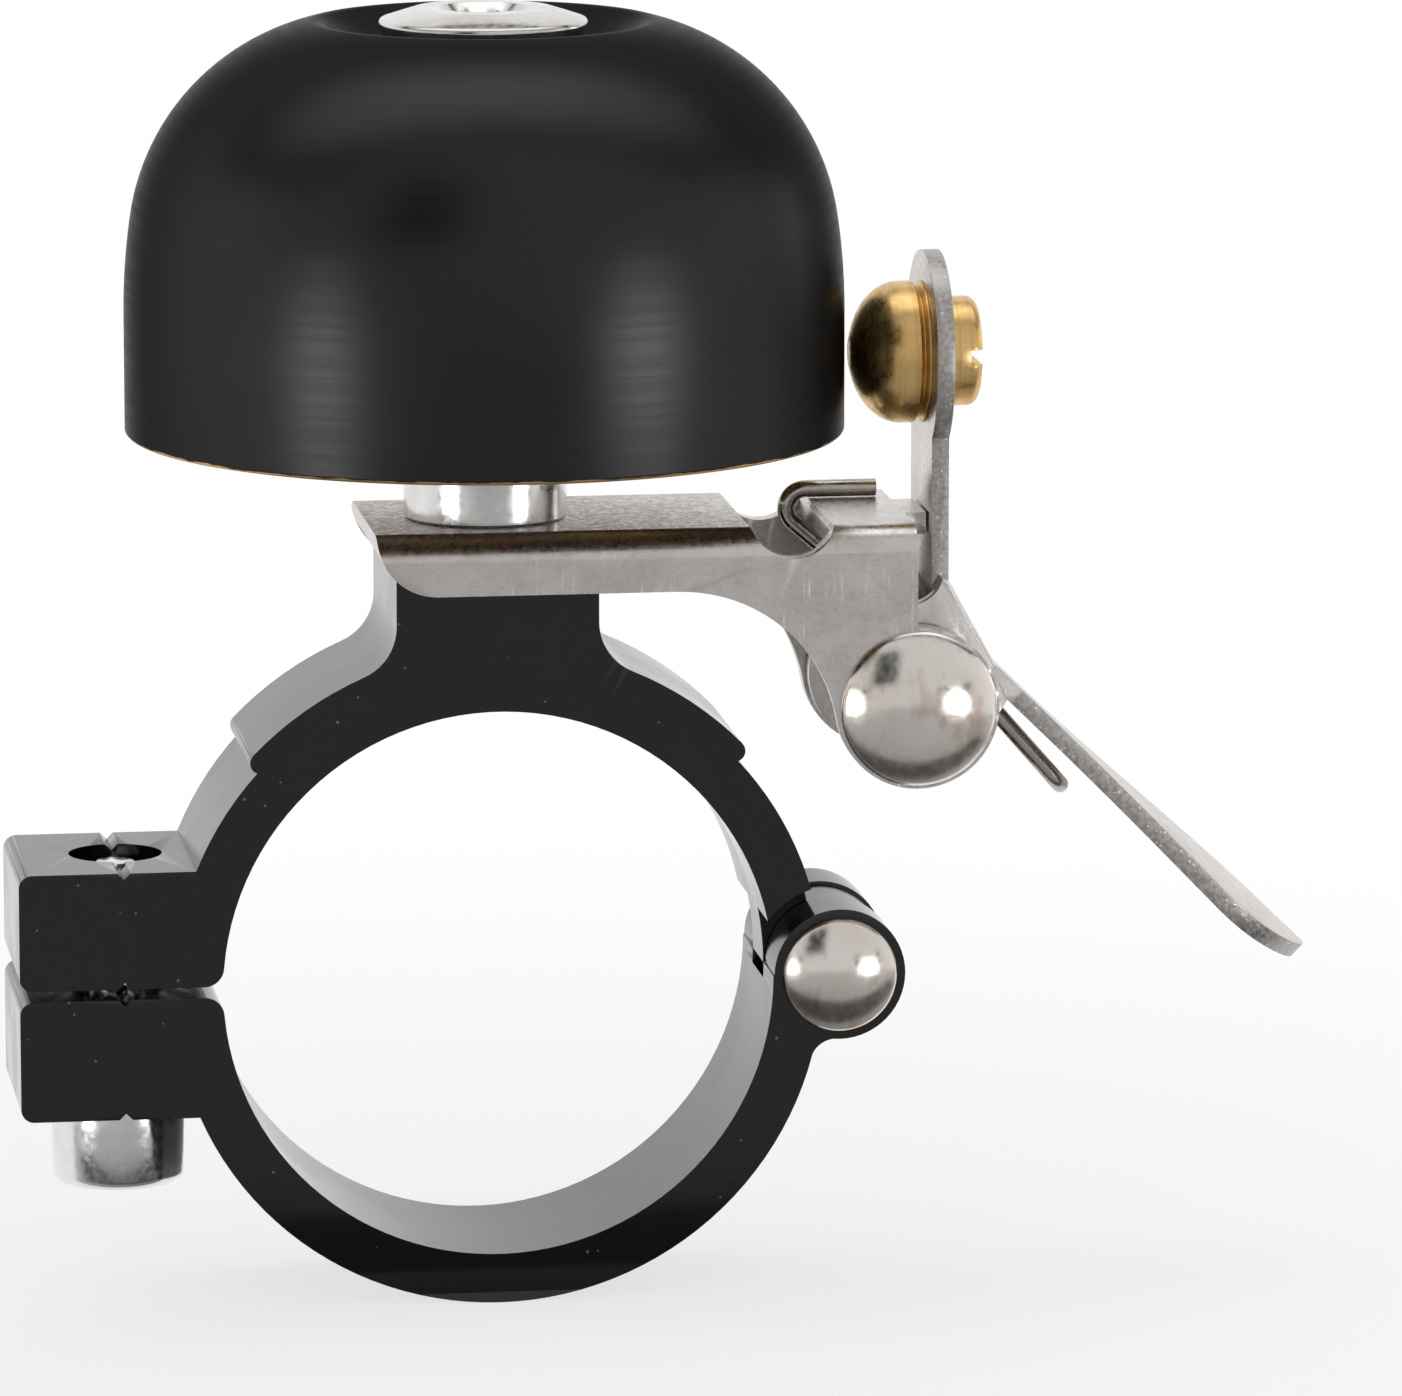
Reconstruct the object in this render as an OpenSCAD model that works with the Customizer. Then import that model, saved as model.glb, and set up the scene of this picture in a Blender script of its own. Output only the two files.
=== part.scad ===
// Bicycle bell with a spring striker on a hinged handlebar clamp.
// The handlebar's axis is Y, through the origin and midway along the clamp.
// +Z points up to the dome and +X out to the striker.

/* [Clamp ring] */
// Diameter of the handlebar
bar_d = 25.4; // [22:0.1:32]
// Width of the clamp along the handlebar
clamp_w = 9.8; // [8:0.1:14]
// Wall of the clamp ring
ring_wall = 2.3; // [1.8:0.1:3.5]
// Extra wall where the ring carries the post
saddle_extra = 0.7; // [0.3:0.1:1.5]
// Angle from the top of the ring to each end of that stretch
saddle_half_angle = 47.7; // [38:0.1:54]
// Rounding of that stretch's two ends
saddle_round = 0.5; // [0.1:0.05:0.6]
// Gap between the two halves when the screw is tight
split_gap = 0.5; // [0.2:0.1:1]

/* [Clamp post] */
// Width of the post across the handlebar
post_w = 9.3; // [8:0.1:12]
// Height of the post above the ring
post_h = 5; // [4:0.1:8]
// Radius between the post and the ring
post_fillet = 2.5; // [1:0.1:3]
// Metal left between the bolt's hole and the handlebar
post_floor = 1.5; // [1:0.1:3]

/* [Clamp lugs] */
// Length of the lugs beyond the ring
lug_l = 7; // [6:0.1:10]
// Thickness of the upper lug
upper_lug_t = 5.4; // [4:0.1:7]
// Thickness of the lower lug
lower_lug_t = 5.6; // [4:0.1:7]
// Radius of the lugs' outer corners
lug_round = 0.6; // [0.2:0.1:1.5]
// Radius where the split opens into the ring
mouth_round = 0.9; // [0.3:0.1:1.2]
// Width of the grooves that mark the screw's line across the lugs
groove_w = 0.6; // [0.3:0.1:1]
// Distance from the lugs' end to the clamp screw
screw_inset = 4.8; // [4:0.1:6]

/* [Clamp screw] */
// Diameter of the screw, at the middle of its thread
screw_d = 2.8; // [2.6:0.1:3.6]
// Diameter of the screw's head
screw_head_d = 6.1; // [5:0.1:8]
// Height of the screw's head
screw_head_h = 3.8; // [2.5:0.1:4.5]
// Width across the flats of the screw's socket
screw_socket = 2.5; // [2:0.1:3.2]
// Room round the screw in the lugs' holes
screw_room = 0.75; // [0.6:0.01:0.9]
// Length that the screw's end stays inside the upper lug
screw_short = 0.35; // [0:0.05:1]

/* [Clamp hinge] */
// Distance from the ring's outside to the hinge's axis
hinge_out = 0.8; // [0.5:0.1:2]
// Diameter of the lower half's knuckles
knuckle_d = 6.1; // [5.6:0.1:8]
// Gap between the knuckles and the end of the upper half
knuckle_gap = 1.2; // [0.5:0.1:2]
// Width of the upper half's tongue, between the knuckles
tongue_w = 3.2; // [2.5:0.1:5]
// Diameter of the tongue's eye
eye_d = 5.8; // [5:0.1:7]
// Clearance round the tongue in its slot
slot_room = 0.15; // [0.1:0.05:0.5]
// Radius between a knuckle and the ring
knuckle_fillet = 1.2; // [0.5:0.1:2]
// Diameter of the hinge rivet
hinge_pin_d = 2.6; // [2:0.1:3.2]
// Diameter of the hinge rivet's heads
hinge_head_d = 5.3; // [4:0.1:6]
// Height of the hinge rivet's domed head
hinge_head_h = 1.1; // [0.8:0.1:2]

/* [Dome] */
// Outer diameter of the dome
dome_d = 33; // [27:0.5:45]
// Wall of the dome
dome_wall = 1.6; // [1:0.1:2.5]
// Gap between the bracket and the dome's rim
rim_gap = 4; // [2:0.1:7]
// Height of the dome's straight side
side_h = 5.5; // [3:0.1:8]
// Radius of the shallow curve above the straight side
bulge_r = 30; // [25:1:40]
// Height of that shallow curve
bulge_h = 4.5; // [3:0.1:7]
// Radius of the shoulder
shoulder_r = 10.75; // [9:0.05:13]
// Radius of the lip round the crown's recess
recess_r = 8; // [7:0.1:10]
// Rounding of that lip
lip_round = 0.8; // [0.4:0.1:1.2]
// Slope of the recess's side
recess_slope = 30; // [20:1:45]
// Depth from the lip to the recess's floor
recess_depth = 1.1; // [0.6:0.1:1.3]
// Height of the recess's floor above the inside of the crown
crown_t = 1.65; // [1.2:0.05:2.5]

/* [Dome bolt, spacer and washer] */
// Diameter of the bolt that holds the dome
bolt_d = 5; // [4:0.1:6]
// Diameter of the bolt's head
bolt_head_d = 9.6; // [8:0.1:11]
// Height of the bolt's head
bolt_head_h = 1.7; // [1.5:0.1:2.5]
// Width across the flats of the bolt's socket
bolt_socket = 3; // [2.5:0.1:4]
// Outer diameter of the spacer tube
spacer_d = 7.5; // [6.5:0.1:9]
// Outer diameter of the isolating washer
washer_d = 11; // [9:0.1:12]
// Thickness of the isolating washer
washer_t = 0.8; // [0.5:0.1:1.5]
// Clearance round the bolt in the pieces it passes through
bolt_room = 0.1; // [0.05:0.05:0.3]

/* [Striker bracket] */
// Thickness of the bracket's sheet
bracket_t = 1; // [0.8:0.1:1.5]
// Clearance between the bracket's sides and the clamp's post
bracket_room = 0.1; // [0.05:0.05:0.4]
// Length of the bracket behind the dome's axis
bracket_back = 5.6; // [5:0.1:8]
// Depth of the bracket's sides, with its top plate
bracket_h = 2.75; // [2:0.05:3]
// Outer radius of the folds
fold_r = 1.2; // [1.1:0.1:1.9]
// Radius of the sides' rear corners
rear_corner_r = 2.75; // [1:0.05:4]
// Radius of the arch under the arm
arch_r = 7.55; // [6.5:0.05:9]
// Radius of the ears round the pivot
ear_r = 3.75; // [3.4:0.05:4.5]
// Depth of the pivot below the bracket's top
pivot_drop = 8.43; // [7.8:0.01:10]
// Radius of the notch across the bracket
notch_r = 2.05; // [1.5:0.05:2.3]
// Distance of the notch behind the pivot
notch_back = 5.75; // [5.5:0.05:6.5]
// Height of the notch's centre above the bracket
notch_rise = 0.7; // [0.4:0.05:1]
// Width of the tongue that stops the lever
stop_w = 4; // [3:0.1:4.5]
// Gap between that tongue and the lever
stop_gap = 0.1; // [0.05:0.05:0.3]

/* [Striker lever] */
// Thickness of the lever's sheet
lever_t = 0.8; // [0.6:0.05:1]
// Distance from the pivot to the near face of the neck
neck_out = 1.05; // [0.8:0.05:1.5]
// Width of the neck
neck_w = 6; // [5:0.1:6.6]
// Flat that is left beside the neck, before the fold
neck_step = 0.13; // [0.1:0.01:0.5]
// Radius of the round head that carries the hammer
head_r = 4.7; // [4:0.1:5.5]
// Height of the hammer above the dome's rim
strike_h = 3.2; // [2.5:0.1:5]
// Gap between the lever's cheeks and the bracket's ears
cheek_room = 0.3; // [0.2:0.05:0.5]
// Distance from the pivot to the back plate's inner face
plate_out = 3.4; // [3.3:0.01:3.8]
// Lean of the back plate from upright
plate_lean = 28.75; // [24:0.25:34]
// Distance from the pivot to the paddle's underside
paddle_out = 3.05; // [2.9:0.01:3.4]
// Slope of the paddle below level
paddle_slope = 44.2; // [38:0.1:50]
// Length of the paddle from the pivot, along its slope
paddle_l = 22.5; // [18:0.1:28]
// Half width of the paddle's rounded end
paddle_half_w = 5.2; // [4.8:0.1:7]
// Radius of the cheeks round the pivot
cheek_r = 3.6; // [3.4:0.05:3.7]

/* [Pivot rivet and sleeve] */
// Diameter of the pivot rivet
rivet_d = 3; // [2.4:0.1:3.2]
// Diameter of the rivet's domed head
rivet_head_d = 7.2; // [5.5:0.1:7.4]
// Height of the rivet's domed head
rivet_head_h = 1.5; // [1:0.1:2.5]
// Diameter of the sleeve that the lever turns on
sleeve_d = 4; // [3.7:0.1:4.2]
// Running clearance of the lever and the hinge on their pins
running_room = 0.05; // [0.02:0.01:0.08]

/* [Hammer] */
// Gap between the hammer and the dome at rest
strike_gap = 0.42; // [0.2:0.01:1]
// Diameter of the hammer
hammer_d = 6.54; // [5:0.02:8]
// Length of the hammer
hammer_l = 3.38; // [3.2:0.02:5]
// Diameter of the flat that strikes the dome
hammer_flat_d = 1.6; // [1:0.1:3]
// Diameter of the hammer screw's thread
hammer_screw_d = 2.4; // [2:0.1:3]
// Diameter of the hammer screw's head
hammer_head_d = 5.06; // [4:0.02:6]
// Height of the hammer screw's head
hammer_head_h = 1.7; // [1.2:0.1:2.5]

/* [Torsion spring] */
// Diameter of the spring's wire
wire_d = 0.8; // [0.6:0.05:0.85]
// Radius of the coil, at the middle of its wire
coil_r = 2.55; // [2.52:0.01:2.65]
// Full turns of the coil
coil_turns = 5; // [3:1:5]
// Distance of the hook from the middle of the bell
hook_y = 3.2; // [3:0.05:3.3]
// Distance of the lower leg from the middle, towards the front
leg_y = 1.5; // [0.8:0.1:1.8]
// Slope of the lower leg below level
leg_slope = 48.9; // [47:0.1:52]
// Length of the lower leg from the coil to its bend
leg_l = 8.4; // [6:0.1:12]
// Radius of the hook's bend
hook_r = 0.9; // [0.8:0.05:1.1]

/* [Hidden] */

$fn = 96;
// How far a cut runs past a face
past = 1;
// Longer than the whole bell, for cuts that run right out of it
far = 120;

// Clamp
bar_r = bar_d / 2;
ring_r = bar_r + ring_wall;
saddle_r = ring_r + saddle_extra;
seat_z = ring_r + post_h;
lug_end = ring_r + lug_l;
screw_x = -(lug_end - screw_inset);
upper_lug_z = split_gap / 2;
lower_lug_z = -split_gap / 2;
screw_hole_r = screw_d / 2 + screw_room;
screw_seat_z = lower_lug_z - lower_lug_t;
screw_tip_z = upper_lug_z + upper_lug_t - screw_short;
hinge_x = ring_r + hinge_out;
hinge_head_y = clamp_w / 2 + running_room;

// Bracket
bracket_top_z = seat_z + bracket_t;
bracket_in = clamp_w / 2 + bracket_room;
bracket_out = bracket_in + bracket_t;
rim_z = bracket_top_z + rim_gap;
hammer_z = rim_z + strike_h;
hammer_x = dome_d / 2 + strike_gap;
neck_x = hammer_x + hammer_l;
pivot_x = neck_x - neck_out;
pivot_z = bracket_top_z - pivot_drop;
arm_end_x = pivot_x - 0.05;
skirt_z = bracket_top_z - bracket_h;
arch_z = skirt_z - arch_r;
arch_x = pivot_x - sqrt(pow(arch_r + ear_r, 2) - pow(pivot_z - arch_z, 2));
notch_x = pivot_x - notch_back;
notch_z = bracket_top_z + notch_rise;

// Spring, seen from the front: the hook bends round the far edge of the notch
hook_z = bracket_top_z + wire_d / 2 + 0.03;
hook_x = notch_x + 1.8;
hook_end_x = arm_end_x - 0.6;

// Lever
cheek_out = bracket_in - cheek_room;
cheek_in = cheek_out - lever_t;
// The lever's folds leave the neck on the flat of the plate
lever_fold_r = min(fold_r, cheek_out - neck_w / 2 - neck_step);

// Dome and what stands under it
shoulder_c = [
    dome_d / 2 - bulge_r + (bulge_r - shoulder_r) * cos(asin(bulge_h / bulge_r)),
    rim_z + side_h + (bulge_r - shoulder_r) * bulge_h / bulge_r
];
lip_z = shoulder_c.y + sqrt(pow(shoulder_r, 2) - pow(recess_r - shoulder_c.x, 2));
floor_z = lip_z - recess_depth;
crown_z = floor_z - crown_t;
washer_z = crown_z - washer_t;
bolt_hole_r = bolt_d / 2 + bolt_room;
bolt_end_z = bar_r + post_floor + 0.5;

// A point at radius r and angle a
function polar(r, a) = [r * cos(a), r * sin(a)];

// Points along an arc of n pieces
function arc(c, r, from, to, n = 24) = [for (i = [0:n]) c + polar(r, from + (to - from) * i / n)];

// Where two lines meet, each the points p with p * polar(1, angle) = distance
function meet(a1, d1, a2, d2) =
    [d1 * sin(a2) - d2 * sin(a1), d2 * cos(a1) - d1 * cos(a2)] / sin(a2 - a1);

// Centre of a circle of radius r that touches two circles from outside, below the line between them
function touching(c1, r1, c2, r2, r) =
    let (
        span = c2 - c1,
        l = norm(span),
        a = r1 + r,
        b = r2 + r,
        along = (l * l + a * a - b * b) / (2 * l),
        side = sqrt(a * a - along * along),
        u = span / l
    )
    c1 + along * u + side * [u.y, -u.x];

// Stands an X-Z outline up and gives it a width along Y
module across(w) {
    rotate([90, 0, 0]) linear_extrude(w, center = true) children();
}

// A cylinder along Y at a place in X-Z
module cross_pin(at, r, w) {
    translate([at.x, 0, at.y]) rotate([90, 0, 0]) cylinder(r = r, h = w, center = true);
}

// The flat-based cap of a sphere, standing on the origin
module cap(d, h) {
    ball_r = (d * d / 4 + h * h) / (2 * h);
    rotate_extrude() intersection() {
        translate([0, h - ball_r]) circle(ball_r);
        square([d / 2, h]);
    }
}

// A hexagonal socket that points up, with its mouth at the origin
module socket(flats, depth) {
    translate([0, 0, -depth]) cylinder(d = flats / cos(30), h = depth + past, $fn = 6);
    cylinder(d1 = flats, d2 = flats / cos(30) + 2 * past, h = past);
    translate([0, 0, -0.35]) cylinder(d1 = flats, d2 = flats + 1, h = 0.35 + 0.001);
}

// Outline of a bar with its end corners rounded, from x = 0 leftwards
module lug_outline(l, t) {
    translate([-l + lug_round, 0]) square([l - lug_round, t]);
    translate([-l, lug_round]) square([l, t - 2 * lug_round]);
    for (z = [lug_round, t - lug_round]) translate([-l + lug_round, z]) circle(lug_round, $fn = 32);
}

// A groove along Y across a level face of the lugs
module groove(z) {
    translate([screw_x, 0, z]) rotate([0, 45, 0])
        cube([groove_w / sqrt(2), clamp_w + 2 * past, groove_w / sqrt(2)], center = true);
}

// Fills the corner between the post and the saddle, on the side that s gives
module post_corner(s) {
    cx = post_w / 2 + post_fillet;
    cz = sqrt(pow(saddle_r + post_fillet, 2) - cx * cx);
    difference() {
        polygon([[0, 0], [s * cx, cz], [0, cz]]);
        translate([s * cx, cz]) circle(post_fillet);
    }
}

// Cuts the sharp corner off where a split face at z meets the ring's bore, on the side of the lugs
module mouth_corner(z, up) {
    cz = z + up * mouth_round;
    cx = -sqrt(pow(bar_r + mouth_round, 2) - cz * cz);
    difference() {
        polygon([[cx, z - up * past], [cx, cz], [cx, cz] * bar_r / (bar_r + mouth_round), [0, cz], [0, z - up * past]]);
        translate([cx, cz]) circle(mouth_round);
    }
}

// The stretch of thicker wall at the top of the ring, with a round end on each side
module saddle_outline() {
    // The round ends stand a hair inside the wall, so that each crosses its end line cleanly
    end_at = saddle_r - saddle_round - 0.01;
    half_angle = saddle_half_angle - asin(saddle_round / end_at);
    intersection() {
        circle(saddle_r);
        polygon([[0, 0], polar(far, 90 - half_angle), polar(far, 90 + half_angle)]);
    }
    for (s = [-1, 1]) translate(polar(end_at, 90 + s * half_angle)) circle(saddle_round, $fn = 48);
}

module upper_outline() {
    difference() {
        union() {
            circle(ring_r);
            saddle_outline();
            translate([-post_w / 2, 0]) square([post_w, seat_z]);
            for (s = [-1, 1]) post_corner(s);
            translate([-bar_r, upper_lug_z]) lug_outline(lug_end - bar_r, upper_lug_t);
        }
        circle(bar_r);
        mouth_corner(upper_lug_z, 1);
        translate([-far / 2, upper_lug_z - far]) square(far);
        translate([hinge_x, 0]) circle(knuckle_d / 2 + knuckle_gap);
    }
}

module tongue_outline() {
    difference() {
        union() {
            intersection() {
                circle(ring_r);
                polygon([[0, 0], [far, 0], polar(far, 25)]);
            }
            translate([hinge_x, 0]) circle(eye_d / 2);
        }
        circle(bar_r);
    }
}

module clamp_upper() {
    color("#1b1b1d") difference() {
        union() {
            across(clamp_w) upper_outline();
            across(tongue_w) tongue_outline();
        }
        translate([0, 0, bar_r + post_floor]) cylinder(r = bolt_d / 2 + running_room, h = far);
        translate([screw_x, 0, 0]) cylinder(r = screw_hole_r, h = far);
        cross_pin([hinge_x, 0], hinge_pin_d / 2 + running_room, far);
        groove(upper_lug_z);
        groove(upper_lug_z + upper_lug_t);
    }
}

module lower_outline() {
    // The fillet starts just inside both circles, so that it crosses them cleanly
    sink = 0.02;
    corner = touching([0, 0], ring_r - sink, [hinge_x, 0], knuckle_d / 2 - sink, knuckle_fillet);
    difference() {
        union() {
            difference() {
                union() {
                    circle(ring_r);
                    translate([-bar_r, screw_seat_z]) lug_outline(lug_end - bar_r, lower_lug_t);
                }
                translate([-far / 2, lower_lug_z]) square(far);
            }
            translate([hinge_x, 0]) circle(knuckle_d / 2);
            difference() {
                polygon([[0, 0], corner, [hinge_x, 0]]);
                translate(corner) circle(knuckle_fillet);
            }
        }
        circle(bar_r);
        mouth_corner(lower_lug_z, -1);
    }
}

module clamp_lower() {
    slot_w = tongue_w + 2 * slot_room;
    slot_r = max(eye_d, knuckle_d) / 2 + slot_room;
    color("#1b1b1d") difference() {
        across(clamp_w) lower_outline();
        cross_pin([hinge_x, 0], slot_r, slot_w);
        cross_pin([hinge_x, 0], hinge_pin_d / 2 + running_room, far);
        translate([screw_x, 0, -far]) cylinder(r = screw_hole_r, h = 2 * far);
        groove(lower_lug_z);
        groove(screw_seat_z);
    }
}

module clamp_screw() {
    color("#c9cacc") translate([screw_x, 0, 0]) difference() {
        union() {
            translate([0, 0, screw_seat_z - screw_head_h]) cylinder(d = screw_head_d, h = screw_head_h);
            translate([0, 0, screw_seat_z - 0.01])
                cylinder(d = screw_d, h = screw_tip_z - screw_seat_z + 0.01);
        }
        translate([0, 0, screw_seat_z - screw_head_h]) mirror([0, 0, 1]) socket(screw_socket, 2);
    }
}

// A set rivet along Y: a domed head in front, a lower formed head behind
module set_rivet(at, d, grip, head_d, head_h) {
    translate([at.x, 0, at.y]) {
        rotate([90, 0, 0]) cylinder(d = d, h = grip + 0.02, center = true);
        translate([0, -grip / 2, 0]) rotate([90, 0, 0]) cap(head_d, head_h);
        translate([0, grip / 2, 0]) rotate([-90, 0, 0]) cap(head_d * 0.85, head_h * 0.6);
    }
}

module hinge_rivet() {
    color("#c8c2b8") set_rivet([hinge_x, 0], hinge_pin_d, 2 * hinge_head_y, hinge_head_d, hinge_head_h);
}

// Half of the bracket's side, seen from the front
module bracket_side() {
    difference() {
        union() {
            translate([-bracket_back + rear_corner_r, skirt_z])
                square([arm_end_x + bracket_back - rear_corner_r, bracket_h]);
            intersection() {
                translate([-bracket_back + rear_corner_r, skirt_z + rear_corner_r]) circle(rear_corner_r);
                translate([-bracket_back, skirt_z]) square([2 * rear_corner_r, bracket_h]);
            }
            difference() {
                polygon([
                    [arch_x, arch_z], [arch_x, skirt_z + 0.2], [arm_end_x, skirt_z + 0.2],
                    [arm_end_x, pivot_z], [pivot_x, pivot_z]
                ]);
                translate([arch_x, arch_z]) circle(arch_r);
            }
            translate([pivot_x, pivot_z]) circle(ear_r);
        }
        translate([notch_x, notch_z]) circle(notch_r);
    }
}

// Cross-section of a folded channel, open towards -Y, with its closed face at y = 0
module channel(outer, t, depth, fold) {
    difference() {
        union() {
            translate([-outer, -depth]) square([2 * outer, depth - fold]);
            translate([-outer + fold, -depth]) square([2 * (outer - fold), depth]);
            for (s = [-1, 1]) translate([s * (outer - fold), -fold]) circle(fold, $fn = 48);
        }
        translate([-outer + t, -depth - past]) square([2 * (outer - t), depth + past - t]);
    }
}

module striker_bracket() {
    stop_x = neck_x - stop_gap;
    // How far the hook's opening stays inside the notch's edge and the sides
    notch_inset = 0.3;
    side_inset = 0.4;
    color("#b9b7b4") difference() {
        union() {
            intersection() {
                across(far) bracket_side();
                translate([-far / 2, 0, bracket_top_z]) rotate([90, 0, 90])
                    linear_extrude(far) channel(bracket_out, bracket_t, far / 2, fold_r);
            }
            translate([arm_end_x - 0.5, -stop_w / 2, seat_z]) cube([stop_x - arm_end_x + 0.5, stop_w, bracket_t]);
        }
        translate([notch_x - notch_r + notch_inset, -bracket_in + side_inset, seat_z - past])
            cube([hook_x - notch_x + notch_r - notch_inset, 2 * (bracket_in - side_inset), bracket_t + 2 * past]);
        cylinder(r = bolt_hole_r, h = far);
        cross_pin([pivot_x, pivot_z], rivet_d / 2 + running_room, far);
    }
}

module spacer() {
    color("#cfd0d2") difference() {
        translate([0, 0, bracket_top_z]) cylinder(d = spacer_d, h = washer_z - bracket_top_z);
        cylinder(r = bolt_hole_r, h = far);
    }
}

module isolating_washer() {
    color("#e8e6df") difference() {
        translate([0, 0, washer_z]) cylinder(d = washer_d, h = washer_t);
        cylinder(r = bolt_hole_r, h = far);
    }
}

module bell_dome() {
    r = dome_d / 2;
    bulge_c = [r - bulge_r, rim_z + side_h];
    bulge_a = asin(bulge_h / bulge_r);
    lip_a = acos((recess_r - shoulder_c.x) / shoulder_r);
    lip_c = shoulder_c + polar(shoulder_r - lip_round, lip_a);
    lip_end = lip_c + polar(lip_round, 90 + recess_slope);
    floor_r = lip_end.x - (lip_end.y - floor_z) / tan(recess_slope);
    inner_r = shoulder_r - dome_wall;
    inner_a = acos((recess_r + dome_wall / 2 - shoulder_c.x) / inner_r);
    color("#19191a") rotate_extrude() polygon(concat(
        [[r - dome_wall, rim_z], [r, rim_z]],
        arc(bulge_c, bulge_r, 0, bulge_a, 6),
        arc(shoulder_c, shoulder_r, bulge_a + 3, lip_a, 24),
        arc(lip_c, lip_round, lip_a + 8, 90 + recess_slope, 4),
        [[floor_r, floor_z], [bolt_hole_r, floor_z], [bolt_hole_r, crown_z], [floor_r + dome_wall / 2, crown_z]],
        arc(shoulder_c, inner_r, inner_a, bulge_a, 24),
        arc(bulge_c, bulge_r - dome_wall, bulge_a - 2, 0, 4)
    ));
}

module dome_bolt() {
    head_r = bolt_head_d / 2;
    color("#d4d5d7") difference() {
        union() {
            translate([0, 0, floor_z]) rotate_extrude() polygon(concat(
                [[0, 0], [head_r - 0.45, 0], [head_r, 0.8]],
                arc([head_r - 0.3, bolt_head_h - 0.75], 0.3, 10, 65, 4),
                [[head_r - 1.7, bolt_head_h], [0, bolt_head_h]]
            ));
            translate([0, 0, bolt_end_z]) cylinder(d = bolt_d, h = floor_z - bolt_end_z + 0.01);
        }
        translate([0, 0, floor_z + bolt_head_h]) socket(bolt_socket, 1.5);
    }
}

// Corners of the lever's sheet, from the pivot, on its near or far face
function neck_bend(t) = meet(0, neck_out + t, plate_lean, plate_out + t);
function paddle_bend(t) = meet(plate_lean, plate_out + t, 90 - paddle_slope, paddle_out + t);
function paddle_end(t) = (paddle_out + t) * polar(1, 90 - paddle_slope) + paddle_l * polar(1, -paddle_slope);

// Everything below is drawn round the pivot
module at_pivot() {
    translate([pivot_x, 0, pivot_z]) children();
}

module cheek_outline() {
    foot = paddle_bend(0) + 1.5 * polar(1, -paddle_slope);
    heel = cheek_r * polar(1, -58);
    difference() {
        union() {
            circle(cheek_r);
            polygon([
                cheek_r * polar(1, 150), [-1.2, 4.6], [neck_out, 5.9], neck_bend(lever_t),
                paddle_bend(lever_t), foot, heel, [0, 0]
            ]);
        }
        translate([-0.35, 6.43]) circle(1.88);
    }
}

// The lever's plate and cheeks are one folded channel, cut to the cheeks' outline.
// Between the cheeks it ends where the paddle begins.
module lever_channel() {
    under = [for (s = [-far, far]) paddle_out * polar(1, 90 - paddle_slope) + s * polar(1, -paddle_slope)];
    difference() {
        intersection() {
            across(far) cheek_outline();
            rotate([0, -plate_lean, 0]) linear_extrude(far, center = true)
                translate([plate_out + lever_t, 0]) rotate(-90)
                    channel(cheek_out, lever_t, far / 2, lever_fold_r);
        }
        across(2 * cheek_in) polygon(concat(under, [-far * polar(1, 90 - paddle_slope)]));
    }
}

module lever_neck() {
    top = hammer_z - pivot_z;
    translate([neck_out, 0, 0]) rotate([90, 0, 90]) linear_extrude(lever_t) {
        translate([0, top]) circle(head_r);
        translate([-neck_w / 2, neck_bend(0).y]) square([neck_w, top - neck_bend(0).y]);
    }
    across(neck_w) polygon([
        neck_bend(0), neck_bend(lever_t), neck_bend(lever_t) - 2 * polar(1, 90 + plate_lean),
        neck_bend(0) - 2 * polar(1, 90 + plate_lean)
    ]);
}

// The paddle widens from the cheeks to its rounded end
module lever_paddle() {
    round_s = paddle_l - paddle_half_w;
    intersection() {
        across(far) polygon([
            paddle_bend(0), paddle_bend(lever_t), paddle_end(lever_t), paddle_end(0)
        ]);
        rotate([0, paddle_slope, 0]) linear_extrude(far, center = true) {
            translate([round_s, 0]) circle(paddle_half_w);
            polygon([
                [0, -cheek_out + lever_fold_r / 2], [round_s, -paddle_half_w],
                [round_s, paddle_half_w], [0, cheek_out - lever_fold_r / 2]
            ]);
        }
    }
}

module striker_lever() {
    color("#bcbab6") difference() {
        at_pivot() {
            lever_channel();
            lever_neck();
            lever_paddle();
        }
        cross_pin([pivot_x, pivot_z], sleeve_d / 2 + running_room, far);
        translate([0, 0, hammer_z]) rotate([0, 90, 0]) cylinder(r = hammer_screw_d / 2 + running_room, h = far);
    }
}

module pivot_sleeve() {
    color("#a9a7a3") difference() {
        cross_pin([pivot_x, pivot_z], sleeve_d / 2, 2 * bracket_in);
        cross_pin([pivot_x, pivot_z], rivet_d / 2 + running_room, far);
    }
}

module pivot_rivet() {
    color("#c8c4bc") set_rivet([pivot_x, pivot_z], rivet_d, 2 * bracket_out, rivet_head_d, rivet_head_h);
}

// The spring's middle line: hook, leg to the coil, coil, lower leg and its bend
hook_c = [hook_x, hook_z - hook_r] - [pivot_x, pivot_z];
upper_leg_a = atan2(-hook_c.y, -hook_c.x) + asin((coil_r + hook_r) / norm(hook_c));
leg_dir = [cos(leg_slope), 0, -sin(leg_slope)];
leg_start = [coil_r * sin(leg_slope), -leg_y, coil_r * cos(leg_slope)];
coil_from = 90 + upper_leg_a;
coil_to = 90 - leg_slope - 360 * coil_turns;
coil_steps = 24 * coil_turns;
end_bend_r = 0.8;
end_l = 2.2;
in_plane = concat(
    [[hook_end_x - pivot_x, hook_y, hook_z - pivot_z]],
    [for (p = arc(hook_c, hook_r, 90, 270 + upper_leg_a, 8)) [p.x, hook_y, p.y]],
    [for (i = [0:coil_steps])
        let (a = coil_from + (coil_to - coil_from) * i / coil_steps)
        [coil_r * cos(a), hook_y - (hook_y + leg_y) * i / coil_steps, coil_r * sin(a)]],
    [leg_start + (leg_l - end_bend_r) * leg_dir]
);
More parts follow.
